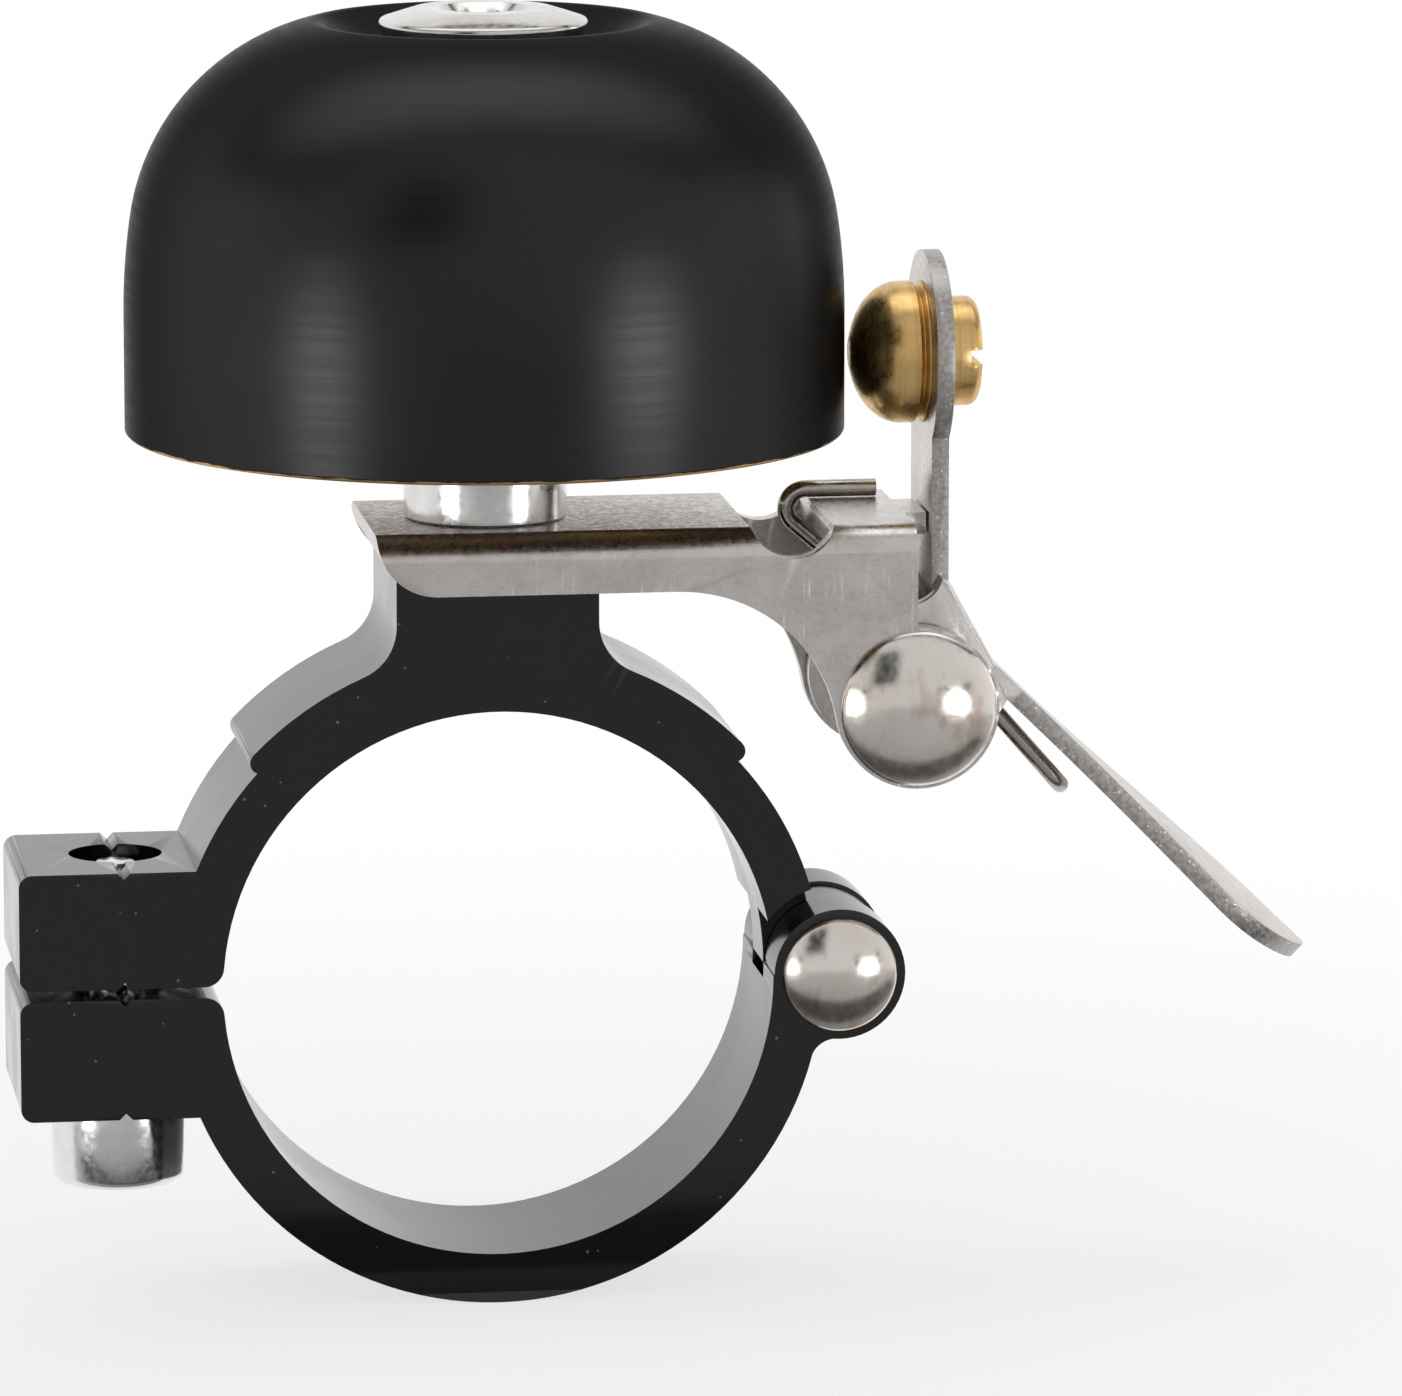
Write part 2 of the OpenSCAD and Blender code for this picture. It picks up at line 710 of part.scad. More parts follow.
wire_path = concat(
    in_plane,
    [for (i = [1:4])
        let (a = 22.5 * i)
        leg_start + (leg_l - end_bend_r + end_bend_r * sin(a)) * leg_dir
            + [0, end_bend_r * (1 - cos(a)), 0]],
    [leg_start + leg_l * leg_dir + [0, end_l, 0]]
);

// A round wire along a path; its rings are square to the path
module wire(path, flat_count, d, sides = 8) {
    n = len(path);
    last_n = [sin(leg_slope), 0, cos(leg_slope)];
    tangents = [for (i = [0:n - 1])
        let (t = path[min(i + 1, n - 1)] - path[max(i - 1, 0)]) t / norm(t)];
    rings = [for (i = [0:n - 1])
        let (
            t = tangents[i],
            raw = i < flat_count - 1 ? cross(t, [0, 1, 0]) : last_n,
            u = raw / norm(raw),
            v = cross(t, u)
        )
        for (k = [0:sides - 1]) path[i] + d / 2 * (cos(360 * k / sides) * u + sin(360 * k / sides) * v)];
    walls = [for (i = [0:n - 2], k = [0:sides - 1])
        let (a = i * sides + k, b = i * sides + (k + 1) % sides)
        [a, a + sides, b + sides, b]];
    ends = [[for (k = [0:sides - 1]) k], [for (k = [sides - 1:-1:0]) (n - 1) * sides + k]];
    polyhedron(rings, concat(walls, ends));
}

module torsion_spring() {
    color("#77756f") at_pivot() wire(wire_path, len(in_plane), wire_d);
}

module hammer() {
    r = hammer_d / 2;
    nose = hammer_l - 1.1;
    color("#b5893f") translate([hammer_x, 0, hammer_z]) rotate([0, 90, 0]) difference() {
        rotate_extrude() polygon(concat(
            [[0, 0], [hammer_flat_d / 2, 0]],
            [for (i = [0:14])
                let (a = 15 + 75 * i / 14)
                [hammer_flat_d / 2 + (r - hammer_flat_d / 2) * (sin(a) - sin(15)) / (1 - sin(15)),
                 nose * (cos(15) - cos(a)) / cos(15) + 0.02]],
            [[r, hammer_l - 0.45], [r - 0.25, hammer_l - 0.3], [r, hammer_l - 0.15], [r, hammer_l], [0, hammer_l]]
        ));
        translate([0, 0, 0.9]) cylinder(r = hammer_screw_d / 2 + running_room, h = far);
    }
}

module hammer_screw() {
    seat_x = neck_x + lever_t;
    r = hammer_head_d / 2;
    color("#b5893f") translate([seat_x, 0, hammer_z]) rotate([0, 90, 0]) difference() {
        union() {
            rotate_extrude() polygon(concat(
                [[0, 0], [r, 0]], arc([r - 0.5, hammer_head_h - 0.5], 0.5, 0, 90, 5), [[0, hammer_head_h]]
            ));
            translate([0, 0, 1.2 - lever_t - hammer_l]) cylinder(d = hammer_screw_d, h = hammer_l + lever_t - 1.19);
        }
        translate([-0.35, -far / 2, hammer_head_h - 0.5]) cube([0.7, far, far]);
    }
}

clamp_upper();
clamp_lower();
clamp_screw();
hinge_rivet();
striker_bracket();
spacer();
isolating_washer();
bell_dome();
dome_bolt();
striker_lever();
pivot_sleeve();
pivot_rivet();
torsion_spring();
hammer();
hammer_screw();
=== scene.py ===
"""Looks of a bicycle bell: a spring striker that rings a dome on a hinged handlebar clamp.

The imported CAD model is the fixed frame. Pieces whose CAD shape is right keep it and get their
finish here; the others are modelled again in full detail and ride on the same bodies.
Sizes are in millimetres, and places are metres in the frame, as Blender has them.
"""

import logging
import math
from dataclasses import dataclass
from enum import Enum
from typing import Callable, Dict, List, Sequence, Tuple

import bmesh
import bpy
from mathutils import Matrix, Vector


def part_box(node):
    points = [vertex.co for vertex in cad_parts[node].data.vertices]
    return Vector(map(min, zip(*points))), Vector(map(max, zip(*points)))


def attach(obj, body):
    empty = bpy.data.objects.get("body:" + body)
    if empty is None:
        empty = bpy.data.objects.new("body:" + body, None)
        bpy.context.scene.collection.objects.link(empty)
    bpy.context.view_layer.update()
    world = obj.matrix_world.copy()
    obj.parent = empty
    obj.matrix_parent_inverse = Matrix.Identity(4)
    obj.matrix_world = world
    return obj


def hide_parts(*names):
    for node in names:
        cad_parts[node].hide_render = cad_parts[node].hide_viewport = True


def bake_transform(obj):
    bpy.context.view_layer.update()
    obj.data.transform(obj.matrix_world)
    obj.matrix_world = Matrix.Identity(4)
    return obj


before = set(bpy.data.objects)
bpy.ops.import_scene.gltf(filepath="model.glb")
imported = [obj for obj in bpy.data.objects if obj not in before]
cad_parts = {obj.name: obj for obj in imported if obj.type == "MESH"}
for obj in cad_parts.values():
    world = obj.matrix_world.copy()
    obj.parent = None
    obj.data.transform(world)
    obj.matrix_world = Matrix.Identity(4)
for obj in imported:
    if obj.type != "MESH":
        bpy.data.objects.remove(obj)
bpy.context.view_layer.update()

LOG = logging.getLogger("bell")
MM = 0.001
TURN = 2 * math.pi
Point2 = Tuple[float, float]
Colour = Tuple[float, float, float]


def polar(radius: float, degrees: float) -> Point2:
    """A point at a radius and an angle from the first axis."""
    return radius * math.cos(math.radians(degrees)), radius * math.sin(math.radians(degrees))


def arc(centre: Point2, radius: float, start: float, end: float, pieces: int) -> List[Point2]:
    """Points along an arc.

    Args:
        centre: Middle of the arc.
        radius: Its radius.
        start: First angle, in degrees.
        end: Last angle, in degrees.
        pieces: Number of straight pieces.

    Returns:
        The points, the two ends included.
    """
    points = []
    for step in range(pieces + 1):
        x, y = polar(radius, start + (end - start) * step / pieces)
        points.append((centre[0] + x, centre[1] + y))
    return points


def smoothstep(low: float, high: float, value: float) -> float:
    """A soft step from 0 at low to 1 at high."""
    share = min(1.0, max(0.0, (value - low) / (high - low)))
    return share * share * (3 - 2 * share)


# ---------------------------------------------------------------------------
# Hand tools
# ---------------------------------------------------------------------------


class Pick(Enum):
    """What an edit selects."""

    VERTS = "VERT"
    EDGES = "EDGE"
    FACES = "FACE"


@dataclass(frozen=True)
class Axis:
    """A turning axis, in millimetres: where it starts, the way it runs and the way out from it."""

    at: Vector
    along: Vector
    out: Vector

    def place(self, radius: float, height: float) -> Vector:
        """The point, in metres, at a radius and a height on the axis."""
        return (self.at + self.out * radius + self.along * height) * MM


class Bench:
    """The hand tools: each drives Blender's own operators on one piece."""

    @staticmethod
    def clear() -> None:
        """Go to object mode with nothing selected."""
        active = bpy.context.view_layer.objects.active
        if active is not None and active.mode != "OBJECT":
            bpy.ops.object.mode_set(mode="OBJECT")
        bpy.ops.object.select_all(action="DESELECT")

    @staticmethod
    def take(piece: bpy.types.Object) -> None:
        """Select one piece alone, in object mode."""
        Bench.clear()
        piece.select_set(True)
        bpy.context.view_layer.objects.active = piece

    @staticmethod
    def edit(piece: bpy.types.Object, kind: Pick, test: Callable) -> None:
        """Go to edit mode with some of a piece selected.

        Args:
            piece: The piece to edit.
            kind: Whether vertices, edges or faces are picked.
            test: Called with each of them; those it is true for are selected.
        """
        Bench.take(piece)
        bpy.ops.object.mode_set(mode="EDIT")
        bpy.ops.mesh.select_mode(type=kind.value)
        bpy.ops.mesh.select_all(action="DESELECT")
        mesh = bmesh.from_edit_mesh(piece.data)
        items = {Pick.VERTS: mesh.verts, Pick.EDGES: mesh.edges, Pick.FACES: mesh.faces}[kind]
        chosen = [item for item in items if test(item)]
        for item in chosen:
            item.select_set(True)
        mesh.select_flush_mode()
        bmesh.update_edit_mesh(piece.data)

    @staticmethod
    def draw(name: str, points: Sequence[Vector]) -> bpy.types.Object:
        """Draw a line by extruding one vertex from point to point.

        Args:
            name: Name of the new piece.
            points: The line's points, in metres.

        Returns:
            The piece, with its line, at the origin.
        """
        Bench.clear()
        bpy.ops.mesh.primitive_plane_add(size=MM, location=points[0])
        piece = bpy.context.object
        piece.name = name
        bpy.ops.object.transform_apply(location=True, rotation=True, scale=True)
        bpy.ops.object.mode_set(mode="EDIT")
        bpy.ops.mesh.select_mode(type="VERT")
        bpy.ops.mesh.select_all(action="SELECT")
        bpy.ops.mesh.merge(type="CENTER")
        for here, there in zip(points, points[1:]):
            bpy.ops.mesh.extrude_region_move(TRANSFORM_OT_translate={"value": there - here})
        bpy.ops.object.mode_set(mode="OBJECT")
        return piece

    @staticmethod
    def turn(name: str, axis: Axis, profile: Sequence[Point2], steps: int = 96) -> bpy.types.Object:
        """Turn a profile on an axis, as on a lathe.

        Args:
            name: Name of the new piece.
            axis: The axis to turn it on.
            profile: (radius, height) points; it starts and ends on the axis, or closes on itself.
            steps: Facets round the axis.

        Returns:
            The closed piece.
        """
        piece = Bench.draw(name, [axis.place(r, h) for r, h in profile])
        Bench.edit(piece, Pick.VERTS, lambda vert: True)
        bpy.ops.mesh.spin(steps=steps, angle=TURN, center=axis.at * MM, axis=axis.along)
        bpy.ops.mesh.select_all(action="SELECT")
        bpy.ops.mesh.remove_doubles(threshold=MM * 0.001)
        bpy.ops.mesh.normals_make_consistent(inside=False)
        bpy.ops.object.mode_set(mode="OBJECT")
        return piece

    @staticmethod
    def wire(name: str, points: Sequence[Vector], radius: float) -> bpy.types.Object:
        """Run a round wire along a line.

        Args:
            name: Name of the new piece.
            points: The wire's middle line, in metres.
            radius: The wire's radius, in millimetres.

        Returns:
            The closed wire as a mesh.
        """
        piece = Bench.draw(name, points)
        Bench.take(piece)
        bpy.ops.object.convert(target="CURVE")
        piece = bpy.context.object
        piece.data.bevel_depth = radius * MM
        piece.data.bevel_resolution = 5
        piece.data.use_fill_caps = True
        bpy.ops.object.convert(target="MESH")
        piece = bpy.context.object
        Bench.edit(piece, Pick.VERTS, lambda vert: True)
        bpy.ops.mesh.remove_doubles(threshold=MM * 0.001)
        bpy.ops.mesh.normals_make_consistent(inside=False)
        bpy.ops.object.mode_set(mode="OBJECT")
        return piece

    @staticmethod
    def apply(piece: bpy.types.Object, kind: str, **settings: object) -> None:
        """Add a modifier with these settings and apply it."""
        Bench.take(piece)
        bpy.ops.object.modifier_add(type=kind)
        modifier = piece.modifiers[-1]
        for key, value in settings.items():
            setattr(modifier, key, value)
        bpy.ops.object.modifier_apply(modifier=modifier.name)

    @staticmethod
    def cut(piece: bpy.types.Object, cutter: bpy.types.Object) -> None:
        """Take the cutter's shape out of a piece, and throw the cutter away."""
        Bench.apply(piece, "BOOLEAN", operation="DIFFERENCE", solver="EXACT", object=cutter)
        bpy.data.objects.remove(cutter)

    @staticmethod
    def join(piece: bpy.types.Object, others: Sequence[bpy.types.Object]) -> None:
        """Make other shells part of a piece."""
        Bench.take(piece)
        for other in others:
            other.select_set(True)
        bpy.ops.object.join()

    @staticmethod
    def soften(piece: bpy.types.Object, width: float, angle: float = 30, segments: int = 3) -> None:
        """Round a piece's sharp edges and shade it smooth.

        Args:
            piece: The piece.
            width: Width of the rounding, in millimetres.
            angle: Edges sharper than this many degrees are rounded.
            segments: Facets across the rounding.
        """
        Bench.apply(
            piece, "BEVEL", width=width * MM, segments=segments, limit_method="ANGLE",
            angle_limit=math.radians(angle), use_clamp_overlap=True,
        )
        Bench.take(piece)
        bpy.ops.object.shade_smooth_by_angle(angle=math.radians(angle))

    @staticmethod
    def prism(name: str, axis: Axis, sides: int, flats: float, low: float, high: float) -> bpy.types.Object:
        """A straight prism on an axis, for cutting a socket.

        Args:
            name: Name of the cutter.
            axis: Its axis.
            sides: Number of sides.
            flats: Width across the flats, in millimetres.
            low: Height of its lower end on the axis.
            high: Height of its upper end.

        Returns:
            The prism.
        """
        corner = flats / 2 / math.cos(math.pi / sides)
        return Bench.turn(name, axis, [(0, low), (corner, low), (corner, high), (0, high)], sides)

    @staticmethod
    def thread(name: str, axis: Axis, core: float, crest: float, pitch: float, turns: int) -> bpy.types.Object:
        """A screw thread's ridge, which winds up the axis.

        Args:
            name: Name of the new shell.
            axis: The screw's axis, along Z; the thread starts at its place.
            core: Radius of the screw's core, in millimetres.
            crest: Radius of the thread's crest.
            pitch: Rise in a turn.
            turns: Number of turns.

        Returns:
            The closed ridge, which dips a little way into the core.
        """
        dip = core - 0.08
        corners = [(dip, 0.0), (crest, pitch * 0.42), (crest, pitch * 0.54), (dip, pitch * 0.96), (dip, 0.0)]
        piece = Bench.draw(name, [Vector((r, 0, h)) * MM for r, h in corners])
        Bench.edit(piece, Pick.VERTS, lambda vert: True)
        bpy.ops.mesh.remove_doubles(threshold=MM * 0.001)
        bpy.ops.object.mode_set(mode="OBJECT")
        Bench.apply(
            piece, "SCREW", axis="Z", angle=TURN, screw_offset=pitch * MM, iterations=turns,
            steps=36, render_steps=36,
        )
        piece.location = axis.at * MM
        Bench.take(piece)
        bpy.ops.object.transform_apply(location=True)
        Bench.edit(piece, Pick.VERTS, lambda vert: True)
        bpy.ops.mesh.fill_holes(sides=0)
        bpy.ops.mesh.select_all(action="SELECT")
        bpy.ops.mesh.normals_make_consistent(inside=False)
        bpy.ops.object.mode_set(mode="OBJECT")
        return piece

    @staticmethod
    def copy_of(node: str, name: str) -> bpy.types.Object:
        """A merged copy of a CAD node, with its level faces made whole, to be worked on.

        Args:
            node: The CAD node.
            name: Name of the new piece.

        Returns:
            The new piece.
        """
        Bench.clear()
        piece = bpy.data.objects.new(name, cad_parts[node].data.copy())
        bpy.context.scene.collection.objects.link(piece)
        Bench.edit(piece, Pick.VERTS, lambda vert: True)
        bpy.ops.mesh.customdata_custom_splitnormals_clear()
        bpy.ops.mesh.remove_doubles(threshold=MM * 0.001)
        bpy.ops.mesh.dissolve_limited(angle_limit=math.radians(0.5))
        bpy.ops.object.mode_set(mode="OBJECT")
        return piece


# ---------------------------------------------------------------------------
# Node graphs and the effects that finishes share
# ---------------------------------------------------------------------------


class Graph:
    """A short way to lay out one node tree."""

    def __init__(self, tree: bpy.types.NodeTree) -> None:
        """Work on a tree, which is emptied first."""
        self.tree = tree
        tree.nodes.clear()

    def node(self, kind: str, settings: Dict[str, object] = {}, **inputs: object) -> bpy.types.Node:
        """Add a node.

        Args:
            kind: Its type's name.
            settings: Properties to set on it.
            inputs: Sockets by name, with underscores for spaces: an output to link, or a value.

        Returns:
            The node.
        """
        made = self.tree.nodes.new(kind)
        for key, value in settings.items():
            setattr(made, key, value)
        for key, value in inputs.items():
            socket = made.inputs[key.replace("_", " ")]
            self.feed(socket, value)
        return made

    def feed(self, socket: bpy.types.NodeSocket, value: object) -> None:
        """Link an output to a socket, or set the socket's value."""
        if isinstance(value, bpy.types.NodeSocket):
            self.tree.links.new(value, socket)
        elif isinstance(value, tuple) and len(value) == 3 and socket.type == "RGBA":
            socket.default_value = (*value, 1)
        else:
            socket.default_value = value

    def math(self, operation: str, *values: object, clamp: bool = False) -> bpy.types.NodeSocket:
        """A Math node's result."""
        made = self.node("ShaderNodeMath", {"operation": operation, "use_clamp": clamp})
        for socket, value in zip(made.inputs, values):
            self.feed(socket, value)
        return made.outputs[0]

    def spread(self, value: object, low: object, high: object, to_low: float = 0, to_high: float = 1) -> bpy.types.NodeSocket:
        """Map a value's range onto another with a soft step."""
        made = self.node("ShaderNodeMapRange", {"interpolation_type": "SMOOTHSTEP"})
        for key, number in (("From Min", low), ("From Max", high), ("To Min", to_low), ("To Max", to_high)):
            self.feed(made.inputs[key], number)
        self.feed(made.inputs["Value"], value)
        return made.outputs["Result"]

    def blend(self, share: object, first: object, second: object) -> bpy.types.NodeSocket:
        """Mix two colours by a share."""
        made = self.node("ShaderNodeMix", {"data_type": "RGBA"})
        self.feed(made.inputs["Factor"], share)
        for socket, colour in zip(made.inputs[6:8], (first, second)):
            self.feed(socket, colour)
        return made.outputs[2]

    def noise(self, vector: object, scale: object, detail: float = 3, rough: float = 0.5) -> bpy.types.NodeSocket:
        """A noise texture's value."""
        made = self.node("ShaderNodeTexNoise", Vector=vector, Scale=scale, Detail=detail, Roughness=rough)
        return made.outputs["Fac"]

    def stretch(self, vector: object, scale: object) -> bpy.types.NodeSocket:
        """A vector scaled along each axis."""
        return self.node("ShaderNodeMapping", Vector=vector, Scale=scale).outputs["Vector"]

    def split(self, vector: object) -> bpy.types.NodeOutputs:
        """A vector's three parts."""
        return self.node("ShaderNodeSeparateXYZ", Vector=vector).outputs


class Effect:
    """The shared shader groups, each built once."""

    made: Dict[str, bpy.types.NodeTree] = {}

    @classmethod
    def group(cls, name: str, inputs: Dict[str, Tuple[str, object]], outputs: Sequence[str], build: Callable) -> bpy.types.NodeTree:
        """Build a group the first time it is asked for.

        Args:
            name: The group's name.
            inputs: Each input's socket type and first value.
            outputs: Names of its outputs, all plain numbers.
            build: Called with the graph and the group's inputs; returns the outputs in order.

        Returns:
            The group's tree.
        """
        if name not in cls.made:
            tree = bpy.data.node_groups.new(name, "ShaderNodeTree")
            for key, (kind, value) in inputs.items():
                socket = tree.interface.new_socket(name=key, in_out="INPUT", socket_type=kind)
                if value is not None:
                    socket.default_value = value
            for key in outputs:
                tree.interface.new_socket(name=key, in_out="OUTPUT", socket_type="NodeSocketFloat")
            graph = Graph(tree)
            start = graph.node("NodeGroupInput")
            end = graph.node("NodeGroupOutput")
            for key, value in zip(outputs, build(graph, start.outputs)):
                graph.feed(end.inputs[key], value)
            cls.made[name] = tree
        return cls.made[name]

    @classmethod
    def grain(cls) -> bpy.types.NodeTree:
        """Fine skin of a sheet or a casting: small dents over slow waves."""

        def build(graph: Graph, given: bpy.types.NodeOutputs) -> Sequence[object]:
            """Dents and waves, and how deep each place lies."""
            fine = graph.noise(given["Vector"], given["Scale"], 4, 0.6)
            slow = graph.noise(given["Vector"], graph.math("MULTIPLY", given["Scale"], 0.12), 2)
            height = graph.math("ADD", fine, graph.math("MULTIPLY", slow, given["Waves"]))
            return height, graph.spread(fine, 0.36, 0.64), graph.spread(slow, 0.35, 0.65)

        inputs = {
            "Vector": ("NodeSocketVector", None),
            "Scale": ("NodeSocketFloat", 3000.0),
            "Waves": ("NodeSocketFloat", 1.0),
        }
        return cls.group("Skin grain", inputs, ("Height", "Fine", "Slow"), build)

    @classmethod
    def specks(cls) -> bpy.types.NodeTree:
        """Sparse small pits or dust: a mask of dots of uneven size."""

        def build(graph: Graph, given: bpy.types.NodeOutputs) -> Sequence[object]:
            """Dots at the middle of some of a Voronoi texture's cells."""
            cells = graph.node("ShaderNodeTexVoronoi", Vector=given["Vector"], Scale=given["Scale"])
            chance = graph.split(cells.outputs["Color"])[0]
            size = graph.spread(chance, graph.math("SUBTRACT", 1.0, given["Amount"]), 1.0, 0.0, 0.32)
            dot = graph.math("LESS_THAN", cells.outputs["Distance"], size)
            return (dot,)

        inputs = {
            "Vector": ("NodeSocketVector", None),
            "Scale": ("NodeSocketFloat", 1500.0),
            "Amount": ("NodeSocketFloat", 0.1),
        }
        return cls.group("Specks", inputs, ("Mask",), build)

    @classmethod
    def turning(cls) -> bpy.types.NodeTree:
        """Marks that a cutting tool leaves round a turned piece."""

        def build(graph: Graph, given: bpy.types.NodeOutputs) -> Sequence[object]:
            """Fine rings of uneven depth along the axis, which break up round it."""
            flat = graph.node("ShaderNodeCombineXYZ", X=given["Along"], Y=given["Out"])
            rings = graph.noise(graph.stretch(flat.outputs[0], (1, 1, 1)), given["Scale"], 2)
            coarse = graph.noise(flat.outputs[0], graph.math("MULTIPLY", given["Scale"], 0.3), 2)
            patch = graph.noise(given["Vector"], 400.0, 2)
            height = graph.math("MULTIPLY_ADD", coarse, 0.6, graph.math("MULTIPLY", rings, patch))
            return height, graph.spread(rings, 0.35, 0.65)

        inputs = {
            "Vector": ("NodeSocketVector", None),
            "Along": ("NodeSocketFloat", 0.0),
            "Out": ("NodeSocketFloat", 0.0),
            "Scale": ("NodeSocketFloat", 5000.0),
        }
        return cls.group("Turning marks", inputs, ("Height", "Mask"), build)

    @classmethod
    def scuffs(cls) -> bpy.types.NodeTree:
        """Short parallel scratches in patches, as tumbled and handled metal has."""

        def build(graph: Graph, given: bpy.types.NodeOutputs) -> Sequence[object]:
            """Noise drawn out along one way, kept only in patches."""
            lines = graph.noise(given["Stretched"], given["Scale"], 2)
            patch = graph.noise(given["Vector"], 260.0, 2)
            line = graph.spread(lines, 0.56, 0.7)
            return (graph.math("MULTIPLY", line, graph.spread(patch, 0.45, 0.62)),)

        inputs = {
            "Vector": ("NodeSocketVector", None),
            "Stretched": ("NodeSocketVector", None),
            "Scale": ("NodeSocketFloat", 1.0),
        }
        return cls.group("Scuffs", inputs, ("Mask",), build)


class Surface:
    """One material's graph, with the nodes that every finish starts from."""

    def __init__(self, name: str) -> None:
        """Start a material with a Principled shader."""
        self.material = bpy.data.materials.new(name)
        self.material.use_nodes = True
        self.graph = Graph(self.material.node_tree)
        self.shader = self.graph.node("ShaderNodeBsdfPrincipled")
        self.graph.node("ShaderNodeOutputMaterial", Surface=self.shader.outputs["BSDF"])
        self.place = self.graph.node("ShaderNodeTexCoord").outputs["Object"]

    def group(self, tree: bpy.types.NodeTree, **inputs: object) -> bpy.types.NodeOutputs:
        """Place a shared effect with its own values."""
        made = self.graph.node("ShaderNodeGroup", {"node_tree": tree})
        for key, value in inputs.items():
            self.graph.feed(made.inputs[key], value)
        return made.outputs

    def set(self, **sockets: object) -> None:
        """Set or link the shader's sockets, named with underscores for spaces."""
        for key, value in sockets.items():
            self.graph.feed(self.shader.inputs[key.replace("_", " ")], value)

    def relief(self, *layers: Tuple[object, float]) -> None:
        """Add bumps, each a height and how high one unit of it stands, in micrometres."""
        normal = None
        for height, microns in layers:
            bump = self.graph.node("ShaderNodeBump", Height=height, Strength=1.0, Distance=microns * 1e-6)
            if normal is not None:
                self.graph.feed(bump.inputs["Normal"], normal)
            normal = bump.outputs["Normal"]
        self.set(Normal=normal)


# ---------------------------------------------------------------------------
# Finishes
# ---------------------------------------------------------------------------


@dataclass(frozen=True)
class Finish:
    """A finish: the name of the slot it belongs to, and how it is made."""

    slot: str
    title: str

    def material(self) -> bpy.types.Material:
        """The finish's material, made the first time."""
        return bpy.data.materials.get(self.title) or self.build()

    def build(self) -> bpy.types.Material:
        """Make the material."""
        raise NotImplementedError


@dataclass(frozen=True)
class GlossBlack(Finish):
    """Black enamel on cast aluminium: glossy, with slight orange peel and a few specks."""

    slot: str = "clamp_black"
    title: str = "Gloss black enamel"
    colour: Colour = (0.0036, 0.0033, 0.0034)

    def build(self) -> bpy.types.Material:
        """Make the material."""
        work = Surface(self.title)
        graph = work.graph
        grain = work.group(Effect.grain(), Vector=work.place, Scale=1700.0, Waves=2.0)
        specks = work.group(Effect.specks(), Vector=work.place, Scale=4200.0, Amount=0.018)["Mask"]
        dust = graph.math("MULTIPLY", specks, 0.9)
        work.set(
            Base_Color=graph.blend(dust, self.colour, (0.11, 0.11, 0.107)),
            Roughness=graph.spread(grain["Slow"], 0, 1, 0.1, 0.17),
            Specular_IOR_Level=0.5,
        )
        work.relief((grain["Height"], 1.6), (specks, 4.0))
        return work.material


@dataclass(frozen=True)
class SatinDome(Finish):
    """Satin black plating on a turned brass dome, worn to bare brass along the rim."""

    slot: str = "dome_black"
    title: str = "Satin black over brass"
    rim_z: float = 0.025
    colour: Colour = (0.031, 0.031, 0.0318)
    brass: Colour = (0.62, 0.40, 0.17)
    edge_gloss: Colour = (0.42, 0.42, 0.43)

    def build(self) -> bpy.types.Material:
        """Make the material."""
        work = Surface(self.title)
        graph = work.graph
        x, y, z = graph.split(work.place)
        out = graph.math("SQRT", graph.math("ADD", graph.math("MULTIPLY", x, x), graph.math("MULTIPLY", y, y)))
        marks = work.group(Effect.turning(), Vector=work.place, Along=z, Out=out, Scale=3200.0)
        grain = work.group(Effect.grain(), Vector=work.place, Scale=5200.0, Waves=0.2)
        ragged = graph.math("MULTIPLY_ADD", graph.noise(work.place, 900.0, 4), 0.00026, self.rim_z + 0.00001)
        bare = graph.math("LESS_THAN", z, ragged)
        cloud = graph.spread(graph.noise(work.place, 90.0, 3), 0.3, 0.7)
        black = graph.blend(cloud, self.colour, (0.036, 0.0355, 0.035))
        satin = graph.math("MULTIPLY_ADD", marks["Mask"], 0.04, 0.32)
        work.set(
            Base_Color=graph.blend(bare, black, self.brass),
            Metallic=1.0,
            Roughness=satin,
            Specular_Tint=self.edge_gloss,
        )
        work.relief((marks["Height"], 0.35), (grain["Height"], 0.9))
        return work.material


@dataclass(frozen=True)
class DullBrass(Finish):
    """The unplated inside of the dome: turned brass gone dull."""

    slot: str = "dome_black"
    title: str = "Dull brass inside"
    colour: Colour = (0.42, 0.27, 0.12)

    def build(self) -> bpy.types.Material:
        """Make the material."""
        work = Surface(self.title)
        graph = work.graph
        grain = work.group(Effect.grain(), Vector=work.place, Scale=2400.0, Waves=2.0)
        work.set(
            Base_Color=graph.blend(grain["Slow"], self.colour, (0.30, 0.19, 0.09)),
            Metallic=1.0,
            Roughness=graph.spread(grain["Fine"], 0, 1, 0.34, 0.46),
        )
        work.relief((grain["Height"], 4.0))
        return work.material


